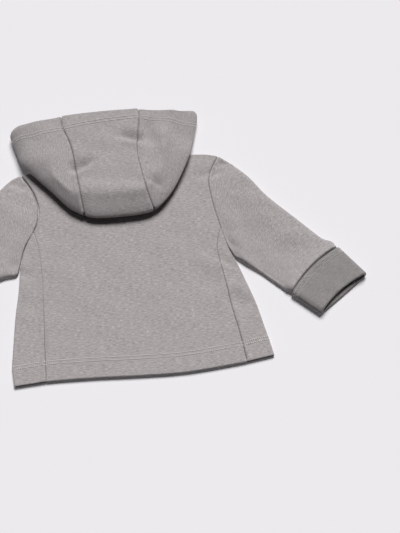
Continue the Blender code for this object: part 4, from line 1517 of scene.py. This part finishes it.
HOOD_CUTS = {
    Hand.LEFT: HoodCut(
        sign=-1,
        rim=Curve(((-145.5, 229), (-148, 224), (-147.8, 218.5), (-146.3, 212.5), (-143, 199.5),
                   (-139, 184), (-133.5, 168), (-121.3, 151), (-96.5, 119.8), (-75.3, 91.8),
                   (-63, 81.2), (-54, 75.4))),
        upper_seam=Curve(((-74, 230.8), (-74, 214), (-66, 188), (-62, 167), (-60, 142), (-58, 120),
                          (-56, 96), (-54, 75.4))),
        lip=Curve(((-74, 230.8), (-97, 228.2), (-120, 226), (-134, 227.6), (-145.5, 229))),
        lower_seam=Curve(((-30, 153), (-43, 112), (-54, 75.4))),
        neck_side=((-47, 165), (-47, 167), (-47.5, 169), (-48.5, 171)),
        turn=((-24, 197), (-26, 194), (-30, 188), (-56, 183), (-56, 177)),
    ),
    Hand.RIGHT: HoodCut(
        sign=1,
        rim=Curve(((113.5, 236), (115.8, 230), (115, 221), (112.8, 212), (108.8, 197), (105, 184),
                   (97.5, 157.5), (84.2, 129.2), (68.6, 101.8), (53.2, 83.2), (39.5, 72.4))),
        upper_seam=Curve(((34, 231.3), (33, 211), (29, 187), (26, 159.3), (28, 132), (32.5, 100),
                          (39.5, 72.4))),
        lip=Curve(((34, 231.3), (50, 227.3), (72, 225.1), (92, 226.5), (104, 231), (113.5, 236))),
        lower_seam=Curve(((30, 153), (36, 112), (39.5, 72.4))),
        neck_side=((47, 166), (47, 168), (47.5, 170), (48.5, 172)),
        turn=((24, 197), (26, 194), (30, 188), (56, 184), (56, 178)),
    ),
}
STRIP_RIM = Curve(((-54, 75.4), (-40, 69.9), (-14, 68.1), (20, 68.1), (39.5, 72.4)))
STRIP_LIP = Curve(((-74, 230.8), (-34, 232.3), (1, 232.8), (34, 231.3)))
BACK_NECK_MIDDLE = Curve(BACK_NECK.spots[3:6])
# shares of the turned edge's length at which a side panel's rings change from one neck line to the next
NECK_RING, FLOOR_RING, BACK_RING, STRIP_RING, LAST_RING = 0.15, 0.20, 0.31, 0.44, 0.992
NECK_SIDE_RINGS = (FLOOR_RING, 0.24, 0.275, BACK_RING)
TURN_RINGS = (0.0, 0.1, NECK_RING, FLOOR_RING, BACK_RING)
NECK_REACH = 0.375  # share of the front neck that each side panel takes up


def near_edge(count: int, reach: float) -> Array:
    """Shares from 0 to the reach, closer together at 0: 1 minus a cosine to the power of 0.8."""
    return reach * (1.0 - np.cos(np.linspace(0.0, math.pi / 2, count)) ** 0.8)


def merged(shares: tuple[Array, ...], step: float) -> Array:
    """The shares in order, to four digits, without those that follow by less than the step."""
    return apart(np.unique(np.round(np.concatenate(shares), 4)), step)


@dataclass
class Hood:
    """The hood: two side panels and a centre strip, turned back over the shoulders."""

    cloth: Cloth = CLOTH
    pitch: float = 1.8
    rim_back: float = 16.2  # middle of the turned edge over the back
    rim_floor: float = 8.0  # the same beyond the shoulders
    rim_fall: Pair = (155.0, 195.0)  # it comes down between these Y
    plateau: float = 32.5  # middle of the upper layer at its highest, behind the crown
    mouth_rise: float = 1.0  # it lies this much higher at the mouth,
    mouth_y: Pair = (100.0, 230.0)  # between these Y
    crown_reach: float = 30.0  # width of the rise from the turned edge round the crown
    left_reach: float = 14.0  # the same at the left of the crown,
    left_from: Pair = (35.0, 75.0)  # between these distances left of the middle,
    mouth_reach: float = 40.0  # and beside the mouth,
    mouth_from: Pair = (125.0, 185.0)  # between these Y
    straight: float = 0.75  # share of that width in which it rises evenly
    edge_round: float = 0.16  # share of the rise in the tight turn at the edge,
    tight: float = 3.0  # which is this many times narrower than the whole
    round_x: Pair = (50.0, 100.0)  # it is one quarter circle past these distances to the left
    round_y: Pair = (135.0, 170.0)  # and past these Y
    loose: Pair = (0.12, 0.7)  # creases grow between these shares of the width
    ripple: Pair = (52.0, 0.4)  # size and height of its unevenness
    undercut: float = 2.3  # the lower layer leaves the back this many radii before the edge
    under_relief: float = 0.5  # share of the relief on the lower layer
    row_drift: tuple[tuple[float, ...], tuple[float, ...]] = (
        (-148, -74, -20, 34, 78, 116), (4.0, 3.0, -1.0, -4.0, -0.5, 8.0))  # X, and depth added to the hem
    lip_step: float = 0.6  # the strip's lip stands this far out, and the sides' this far in
    neck_in: float = 0.5  # the edges at the neck lie this far inside
    left_pull: float = 2.1  # how strongly the strip's left seam draws the cloth down,
    right_pull: float = 1.9  # the same for its right seam,
    slack: float = 1.7  # and how much weaker that is in its middle,
    slack_from: tuple[Pair, Pair] = ((52.0, 75.0), (120.0, 140.0))  # from and to these places
    rim_columns: tuple[int, float] = (15, 0.24)  # finer columns by the turned edge, and their share
    rim_rows: tuple[int, float] = (16, 0.2)  # the same for the strip's rows
    under_steps: tuple[float, ...] = (0.006, 0.014, 0.026, 0.042, 0.062, 0.088, 0.12)
    strip_steps: tuple[float, ...] = (0.16, 0.13, 0.1, 0.075, 0.053, 0.035, 0.02, 0.01, 0.004)
    strip_width: float = 100.0  # about
    strip_pitch: float = 2.4  # of its lower layer
    pucker_shift: Pair = (200.0, 90.0)  # where the puckers start on the sides and on the strip
    folds: tuple[Fold, ...] = (
        Fold((-5, 191), (29, 180), 6.8, 6.2, fade=(0.7, 0.0), lean=0.35),
        Fold((4, 178), (29, 169), 5.0, -1.2, fade=(0.5, 0.0)),
        Fold((-60, 139), (-28, 154), 7.0, 6.4, fade=(0.0, 0.7), lean=0.35),
        Fold((-59, 128), (-36, 138), 5.0, -1.3, fade=(0.0, 0.6)),
        Fold((-62, 110), (36, 97), 9, -1.6, fade=(0.15, 0.2)),
        Fold((66, 193), (60, 146), 8, -2.8),
        Fold((44, 213), (43, 165), 10, 3.4),
        Fold((36, 114), (58, 97), 7, 2.6, fade=(0.3, 0.3), lean=0.3),
        Fold((-128, 208), (-98, 166), 14, 1.8),
        Fold((-20, 211), (14, 201), 14, 1.2),
        Fold((-34, 172), (8, 158), 10, 0.8),
    )

    def seam_pull(self, hand: Hand, from_mouth: Array) -> Array:
        """How strongly a seam of the strip draws the cloth down.

        Args:
            hand: which seam.
            from_mouth: distance of each point from the mouth.
        Returns:
            The pull at each.
        """
        if hand is Hand.LEFT:
            return np.full_like(from_mouth, self.left_pull)
        start, end = self.slack_from
        middle = smooth_step(from_mouth, *start) * (1.0 - smooth_step(from_mouth, *end))
        return self.right_pull - self.slack * middle

    @property
    def back_level(self) -> float:
        """Middle of the lower layer, which lies on the back."""
        return self.cloth.back_z + self.cloth.thickness + self.cloth.gap

    def rim_height(self, plan: Array) -> Array:
        """Middle height of the turned edge near each point."""
        fall = smooth_step(plan[..., 1], *self.rim_fall)
        return self.rim_back + (self.rim_floor - self.rim_back) * fall

    def from_rim(self, plan: Array) -> Array:
        """Distance in plan from each point to the whole turned edge."""
        left, right = (HOOD_CUTS[hand].rim.spots for hand in Hand)
        return Curve(left[:-1] + STRIP_RIM.spots + right[-2::-1]).distance(plan)

    def top_height(self, plan: Array) -> Array:
        """The upper layer: a tight turn and an even slope that levels off, with its creases.

        Args:
            plan: the points.
        Returns:
            Their heights.
        """
        x, y = plan[..., 0], plan[..., 1]
        reach = self.crown_reach + (self.left_reach - self.crown_reach) * smooth_step(-x, *self.left_from)
        reach = reach + (self.mouth_reach - reach) * smooth_step(y, *self.mouth_from)
        share = self.from_rim(plan) / reach
        crease = (folded(self.folds, plan) + waves(plan, 23, *self.ripple)) * smooth_step(share, *self.loose)
        ramp, bend = np.clip(share, 0.0, self.straight), np.clip(share, self.straight, 1.0) - self.straight
        left = 1.0 - self.straight
        slope = (ramp + bend - bend ** 2 / (2 * left)) / (self.straight + left / 2)
        rise = self.edge_round * quarter_round(share * self.tight) + (1.0 - self.edge_round) * slope
        rounder = smooth_step(-x, *self.round_x) * smooth_step(y, *self.round_y)
        rise = rise + (quarter_round(share) - rise) * rounder
        rim = self.rim_height(plan)
        return rim + (self.plateau + self.mouth_rise * smooth_step(y, *self.mouth_y) - rim) * rise + crease

    def low_height(self, plan: Array, level: Array | float) -> Array:
        """The lower layer at its level, a long quarter ellipse up to the turned edge."""
        radius = self.rim_height(plan) - level
        return self.rim_height(plan) - radius * quarter_round(self.from_rim(plan) / (radius * self.undercut))

    def row_depth(self, x: Array) -> Array:
        """Where the stitch row farther from the mouth's edge runs, by the place along the mouth."""
        return self.cloth.mouth_depth + np.interp(x, *self.row_drift)

    def neck_points(self, cut: HoodCut, rings: Array) -> Array:
        """Where each ring ends: along the front neck, up beside the neck and on the back neck.

        Args:
            cut: the panel's outlines.
            rings: shares of the rings along the turned edge.
        Returns:
            A point for each ring.
        """
        def share(start: float, end: float) -> Array:
            """Share of the way from one ring to another, held from 0 to 1."""
            return np.clip((rings - start) / (end - start), 0.0, 1.0)

        low = FRONT_NECK.at(0.5 + cut.sign * NECK_REACH * share(0.0, NECK_RING))
        beside = between(rings, NECK_SIDE_RINGS, cut.neck_side)
        necks = BACK_NECK.spots[1:4] if cut.sign < 0 else BACK_NECK.spots[-2:-5:-1]
        high = Curve((cut.neck_side[-1], *necks)).at(share(BACK_RING, STRIP_RING))
        seam = cut.lower_seam.at(share(STRIP_RING, 1.0))
        ring = rings[:, None]
        ends = np.where(ring <= NECK_RING, low, beside)
        ends = np.where(ring >= BACK_RING, high, ends)
        return np.where(ring > STRIP_RING, seam, ends)

    def side(self, hand: Hand) -> Shell:
        """One side panel: rings from the upper seam round the turned edge to the neck or strip.

        Its lower layer runs from the turned edge to the neck as a quadratic curve.

        Args:
            hand: which side.
        Returns:
            The cloth.
        """
        cloth, cut, sign = self.cloth, HOOD_CUTS[hand], hand.value
        length = cut.rim.length()
        rings = spaced(length, self.pitch, far=False, dense=cloth.pair(cloth.mouth_depth)) * LAST_RING
        rim, seam = cut.rim.at(rings), cut.upper_seam.at(rings)
        even = spaced(cut.lip.length(), self.pitch, far=False)
        up = merged((even, 1.0 - near_edge(*self.rim_columns)), 0.0015)
        crown = seam[-1] + (rim[-1] - seam[-1]) * up[:, None]
        upper = coons(cut.lip.at(up), crown, seam, rim, up, rings / LAST_RING)
        ends = self.neck_points(cut, rings)
        turn = between(rings, TURN_RINGS, cut.turn)
        middle = np.where(rings[:, None] <= BACK_RING, turn, (rim + ends) / 2)
        t = np.concatenate([self.under_steps, np.linspace(0.16, 1.0, 26)])[None, :, None]
        lower = ((1 - t) ** 2 * rim[:, None] + 2 * t * (1 - t) * middle[:, None]
                 + t ** 2 * ends[:, None])
        rise = smooth_step(rings, FLOOR_RING, BACK_RING)[:, None]
        level = cloth.front_z + (self.back_level - cloth.front_z) * rise
        grid = np.concatenate([joined(upper, self.top_height(upper)),
                               joined(lower, self.low_height(lower, level))], axis=1)
        from_seam, from_mouth = walked(grid, 1), walked(grid, 0)
        on_top = np.arange(grid.shape[1])[None, :] < upper.shape[1]
        grid = edged(grid, first_row=cloth.edge_in + self.lip_step, last_row=cloth.seam_in,
                     first_column=cloth.seam_in, last_column=self.neck_in)
        relief = cloth.seam(from_seam, lifted=hand is Hand.LEFT, pull=self.seam_pull(hand, from_mouth))
        depth = self.row_depth(grid[:1, :, 0])
        relief = relief + cloth.stitched(from_mouth, from_seam * sign + self.pucker_shift[0], depth)
        flat = unrolled(grid, up_cloth(length * (1.0 - rings)), (sign, 0.0))
        flat = cut_out(flat, Cut.HOOD_SIDE, 74.0 * sign, sign)
        shell = Shell(f"hood_side_{hand.name.lower()}_knit", grid, flat,
                      extra=cloth.doubled(from_mouth, depth), turned=hand is Hand.RIGHT)
        return shell.raised(relief * np.where(on_top, 1.0, self.under_relief))

    def centre(self) -> Shell:
        """The centre strip, from the back neck down, round the crown and up to the lip.

        Returns:
            The cloth.
        """
        cloth = self.cloth
        left, right = HOOD_CUTS[Hand.LEFT], HOOD_CUTS[Hand.RIGHT]
        u = spaced(self.strip_width, self.pitch)
        length = right.upper_seam.length()
        upper_rows = spaced(length, self.pitch, near=False,
                            dense=(length - cloth.mouth_depth, length - cloth.mouth_depth + cloth.twin))
        upper_rows = merged((upper_rows, near_edge(*self.rim_rows)), 0.001)
        lower_rows = spaced(right.lower_seam.length(), self.strip_pitch, far=False)
        lower_rows = np.concatenate([lower_rows[lower_rows < 0.82], 1.0 - np.array(self.strip_steps)])
        lower = coons(BACK_NECK_MIDDLE.at(u), STRIP_RIM.at(u), left.lower_seam.at(lower_rows),
                      right.lower_seam.at(lower_rows), u, lower_rows)
        upper = coons(STRIP_RIM.at(u), STRIP_LIP.at(u), left.upper_seam.back().at(upper_rows),
                      right.upper_seam.back().at(upper_rows), u, upper_rows)
        grid = np.concatenate([joined(lower, self.low_height(lower, self.back_level)),
                               joined(upper, self.top_height(upper))])
        from_mouth = walked(grid[::-1], 0)[::-1]
        run = walked(grid, 1)
        grid = edged(grid, first_row=self.neck_in, last_row=cloth.edge_in - self.lip_step,
                     first_column=cloth.seam_in, last_column=cloth.seam_in)
        relief = (cloth.seam(run, pull=self.seam_pull(Hand.LEFT, from_mouth))
                  + cloth.seam(run_back(run), lifted=True, pull=self.seam_pull(Hand.RIGHT, from_mouth)))
        depth = self.row_depth(grid[-1:, :, 0])
        relief = relief + cloth.stitched(from_mouth, run + self.pucker_shift[1], depth)
        flat = unrolled(grid, up_cloth(walked(grid, 0)[:, 0]), (1.0, 0.0))
        return Shell("hood_centre_knit", grid, cut_out(flat, Cut.HOOD_CENTRE, -3.0),
                     extra=cloth.doubled(from_mouth, depth)).raised(relief)


# ---- stitches ----
RING_PLACES = (0.0, 0.13, 0.5, 0.87, 1.0)  # rings along a thread
RING_WIDTHS = (0.25, 0.85, 1.0, 0.85, 0.25)  # and their radii
RING_POINTS = 6


@dataclass(frozen=True)
class Stitching:
    """Stitches of one thread: each one a short rounded thread that arches over the cloth."""

    length: float = 1.75
    gap: float = 0.85
    radius: float = 0.62
    flatness: float = 0.62  # its height over its width
    arch: float = 0.15

    def threads(self, starts: Array, ends: Array, normals: Array) -> tuple[Array, Array]:
        """Threads from the starts to the ends.

        Each thread is a few rings of points; its radius shrinks to both ends, and its middle is
        lifted by the arch times a half sine.

        Args:
            starts: one point for each thread.
            ends: the other.
            normals: the way out of the cloth.
        Returns:
            The points and the triangles.
        """
        along = np.array(RING_PLACES)
        width = np.array(RING_WIDTHS) * self.radius
        height = self.arch * np.sin(math.pi * along)
        turn = np.linspace(0.0, math.tau, RING_POINTS, endpoint=False)
        run = unit(ends - starts)
        side = unit(np.cross(normals, run))
        up = np.cross(run, side)
        centre = starts[:, None] + (ends - starts)[:, None] * along[None, :, None]
        centre = centre + up[:, None] * height[None, :, None]
        ring = (side[:, None, None] * np.cos(turn)[None, None, :, None]
                + up[:, None, None] * (self.flatness * np.sin(turn))[None, None, :, None])
        points = centre[:, :, None] + ring * width[None, :, None, None]
        number = np.arange(len(along) * RING_POINTS).reshape(-1, RING_POINTS)
        ahead = np.roll(number, -1, axis=1)
        near, near_ahead = number[:-1].ravel(), ahead[:-1].ravel()
        far, far_ahead = number[1:].ravel(), ahead[1:].ravel()
        fan = np.arange(1, RING_POINTS - 1)
        faces = np.concatenate([
            np.stack([near, near_ahead, far_ahead], 1), np.stack([near, far_ahead, far], 1),
            np.stack([0 * fan, fan + 1, fan], 1), np.stack([0 * fan, fan, fan + 1], 1) + number[-1, 0]])
        every = faces[None] + number.size * np.arange(len(points))[:, None, None]
        return points.reshape(-1, 3), every.reshape(-1, 3)

    def row(self, line: Array, normals: Array, closed: bool = False,
            shift: float = 0.0) -> tuple[Array, Array]:
        """A row of stitches along a line.

        Args:
            line: points on the cloth.
            normals: the way out of the cloth there.
            closed: the line comes back to its start.
            shift: how many steps the stitches are moved along the line.
        Returns:
            The points and the triangles.
        """
        if closed:
            line = np.concatenate([line, line[:1]])
            normals = np.concatenate([normals, normals[:1]])
        length = walked(line, 0)
        step = self.length + self.gap
        count = max(1, int(length[-1] / step))
        step = length[-1] / count
        begin = step * (np.arange(count) + shift) + self.gap / 2
        finish = begin + step - self.gap
        out = unit(between((begin + finish) / 2, length, normals))
        return self.threads(between(begin, length, line), between(finish, length, line), out)


@dataclass
class Seamwork:
    """All the threads sewn through one piece of cloth, and the dark capsules of painted shade in their
    needle holes.
    """

    name: str
    points: list[Array]
    faces: list[Array]
    slots: list[Array]
    count: int = 0

    @classmethod
    def on(cls, shell: Shell) -> "Seamwork":
        """An empty set of threads for this cloth."""
        return cls(f"{shell.name}_stitches", [], [], [])

    def add(self, threads: tuple[Array, Array], slot: int = 0) -> None:
        """Adds threads.

        Args:
            threads: their points and triangles.
            slot: 1 for the dark capsules of painted shade in the needle holes.
        """
        points, faces = threads
        self.points.append(points)
        self.faces.append(faces + self.count)
        self.slots.append(np.full(len(faces), slot))
        self.count += len(points)

    def build(self, thread: Material, hole: Material) -> Object:
        """Makes the mesh of all its threads and of the painted shade in its needle holes."""
        return mesh_object(self.name, pressed(np.concatenate(self.points)), np.concatenate(self.faces),
                           [thread, hole], np.concatenate(self.slots))


TWIN = Stitching()
# dark capsules in the gaps between stitches: painted shade of the needle holes, not a thread
SHADE_CAPSULES = Stitching(length=0.85, gap=1.75, radius=0.36, flatness=0.45, arch=0.0)
LOOPER = Stitching(length=2.2, gap=0.3, radius=0.5, arch=0.3)
LADDER = Stitching(radius=0.27, flatness=0.8, arch=0.3)
TWIN_LIFT, LOOPER_LIFT = 0.2, 0.1  # how far the stitches lie above the cloth
SHADE_CAPSULE_DEPTH = 0.15  # the capsules of painted needle-hole shade lie this far below the stitches
LADDER_STEP = 2.5  # distance between the threads across a cover stitch


@dataclass
class Dresser:
    wardrobe: Wardrobe

    def cloth(self, shell: Shell, node: str, rests_on: tuple[str, ...],
              sewn: Seamwork | None = None, inside_out: bool = False) -> Object:
        """Builds one piece of cloth and its stitches.

        Args:
            shell: the cloth.
            node: the solid that it stands for.
            rests_on: the solids that it lies on; not used.
            sewn: its stitches.
            inside_out: the wrong side of the knit and the loopers' paler thread are outside.
        Returns:
            The piece.
        """
        wardrobe = self.wardrobe
        faces = (wardrobe.inside, wardrobe.outside) if inside_out else (wardrobe.outside, wardrobe.inside)
        piece = shell.build(*faces)
        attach(piece, BODY)
        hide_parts(node)
        if sewn is not None:
            thread = wardrobe.pale_thread if inside_out else wardrobe.thread
            stitches = sewn.build(thread, wardrobe.needle_hole)
            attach(stitches, BODY)
        return piece

    def twin_rows(self, shell: Shell, depth: Array | float, last: bool = False) -> Seamwork:
        """Twin-needle stitches along a hem, with painted shade in the needle holes between them.

        Args:
            shell: the cloth.
            depth: where the row farther from the edge runs.
            last: the hem is at the last row of its grid.
        Returns:
            The stitches.
        """
        sewn = Seamwork.on(shell)
        for distance in CLOTH.pair(depth):
            line, normals = shell.line(distance - CLOTH.edge_in, last=last, lift=TWIN_LIFT)
            sewn.add(TWIN.row(line, normals))
            # painted shade: dark capsules in the needle holes between the stitches
            sewn.add(SHADE_CAPSULES.row(line - SHADE_CAPSULE_DEPTH * normals, normals, shift=-0.5), slot=1)
        return sewn

    def cover_rows(self, shell: Shell) -> Seamwork:
        """The wrong side of a twin stitch: two rows of looped thread with threads across between.

        Args:
            shell: the cuff's cloth, whose last row is its free edge.
        Returns:
            The stitches.
        """
        sewn = Seamwork.on(shell)
        rows = []
        for distance in CLOTH.cuff_rows:
            line, normals = shell.line(distance - CLOTH.cuff_in, last=True, lift=LOOPER_LIFT)
            sewn.add(LOOPER.row(line, normals, closed=True))
            length = walked(line, 0)
            marks = np.arange(0.0, length[-1], LADDER_STEP)
            rows.append([between(marks, length, part) for part in (line, normals)])
        count = min(len(rows[0][0]), len(rows[1][0]))
        (near, out), (far, _) = rows
        sewn.add(LADDER.threads(near[:count - 1], far[1:count], out[:count - 1]))
        return sewn


# ---- studio ----
@dataclass(frozen=True)
class Studio:
    """Plain pale floor, soft light from behind and above, and the camera."""

    floor_colour: Triple = (0.785, 0.770, 0.793)
    floor_glow: float = 0.05  # the lit floor's own light, which keeps its shadows faint
    floor_reach: float = 4000.0
    floor_top: float = -0.2
    world_colour: Triple = (0.97, 0.985, 1.0)
    world_strength: float = 0.045
    key_from: Triple = (0.16, 0.58, 1.0)  # where the light comes from
    key_angle: float = 31.0  # width of the soft light as the garment sees it, in degrees
    key_strength: float = 3.56
    back: Triple = (-0.0609, -0.4963, 0.8660)  # from the garment to the camera
    right: Triple = (0.99255, -0.12187, 0.0)
    camera_place: Triple = (0.0060, -0.7089, 1.2124)  # in metres
    focal_pixels: float = 1060.6
    picture_height: int = 533
    sensor: float = 36.0
    far_end: float = 100.0  # the camera sees this far, in metres

    def floor(self) -> None:
        """A wide level sheet of paper just under the garment."""
        colour = (*self.floor_colour, 1.0)
        material, _ = new_material("floor_paper", {
            "Base Color": colour, "Roughness": 0.95, "Specular IOR Level": 0.1,
            "Emission Color": colour, "Emission Strength": self.floor_glow})
        corners = np.array([[-1, -1, 0], [1, -1, 0], [1, 1, 0], [-1, 1, 0]], float) * self.floor_reach
        corners[:, 2] = self.floor_top
        mesh_object("floor", corners, np.array([[0, 1, 2, 3]]), [material])

    def lights(self) -> None:
        """The world's even light and one large soft light from behind."""
        world = bpy.data.worlds.new("studio_light")
        bpy.context.scene.world = world
        world.use_nodes = True
        background = world.node_tree.nodes["Background"]
        background.inputs["Color"].default_value = (*self.world_colour, 1.0)
        background.inputs["Strength"].default_value = self.world_strength
        light = bpy.data.lights.new("key", "SUN")
        light.energy = self.key_strength
        light.angle = math.radians(self.key_angle)
        lamp = bpy.data.objects.new("key", light)
        lamp.rotation_euler = Vector(self.key_from).to_track_quat("Z", "Y").to_euler()
        bpy.context.scene.collection.objects.link(lamp)

    def camera(self) -> None:
        """The camera, turned so that its axes are the right, the up and the back directions."""
        lens = bpy.data.cameras.new("camera")
        lens.sensor_fit = "AUTO"
        lens.sensor_width = self.sensor
        lens.lens = self.focal_pixels / self.picture_height * self.sensor
        lens.clip_end = self.far_end
        camera = bpy.data.objects.new("camera", lens)
        back, right = Vector(self.back).normalized(), Vector(self.right).normalized()
        columns = zip(right, back.cross(right), back, self.camera_place)
        camera.matrix_world = Matrix((*columns, (0.0, 0.0, 0.0, 1.0)))
        bpy.context.scene.collection.objects.link(camera)
        bpy.context.scene.camera = camera

    def build(self) -> None:
        """Sets up all of it."""
        self.floor()
        self.lights()
        self.camera()
        view = bpy.context.scene.view_settings
        view.view_transform = "Standard"
        view.look = "None"


def main() -> None:
    """Builds the hoodie and its studio."""
    logging.basicConfig(level=logging.INFO, format="%(message)s")
    dresser = Dresser(Wardrobe.made())
    body = Body()
    hem = CLOTH.hem_row
    front = body.panel("front_knit", FRONT_NECK, on_top=False)
    dresser.cloth(front, "front", (), dresser.twin_rows(front, hem))
    back = body.panel("back_knit", BACK_NECK, on_top=True)
    dresser.cloth(back, "back", ("front",), dresser.twin_rows(back, hem))
    for hand in Hand:
        name = hand.name.lower()
        side = body.side(hand)
        dresser.cloth(side, f"side_{name}", (), dresser.twin_rows(side, hem))
        sleeve = Sleeve(hand)
        dresser.cloth(sleeve.sleeve(), f"sleeve_{name}", ())
        cuff = sleeve.cuff()
        dresser.cloth(cuff, f"cuff_{name}", (f"sleeve_{name}",), dresser.cover_rows(cuff), inside_out=True)
    hood = Hood()
    for hand in Hand:
        side = hood.side(hand)
        dresser.cloth(side, f"hood_side_{hand.name.lower()}", ("back", "front"),
                      dresser.twin_rows(side, hood.row_depth(side.grid[0, :, 0])))
    centre = hood.centre()
    dresser.cloth(centre, "hood_centre", ("back",),
                  dresser.twin_rows(centre, hood.row_depth(centre.grid[-1, :, 0]), last=True))
    Studio().build()


if __name__ == "__main__":
    main()
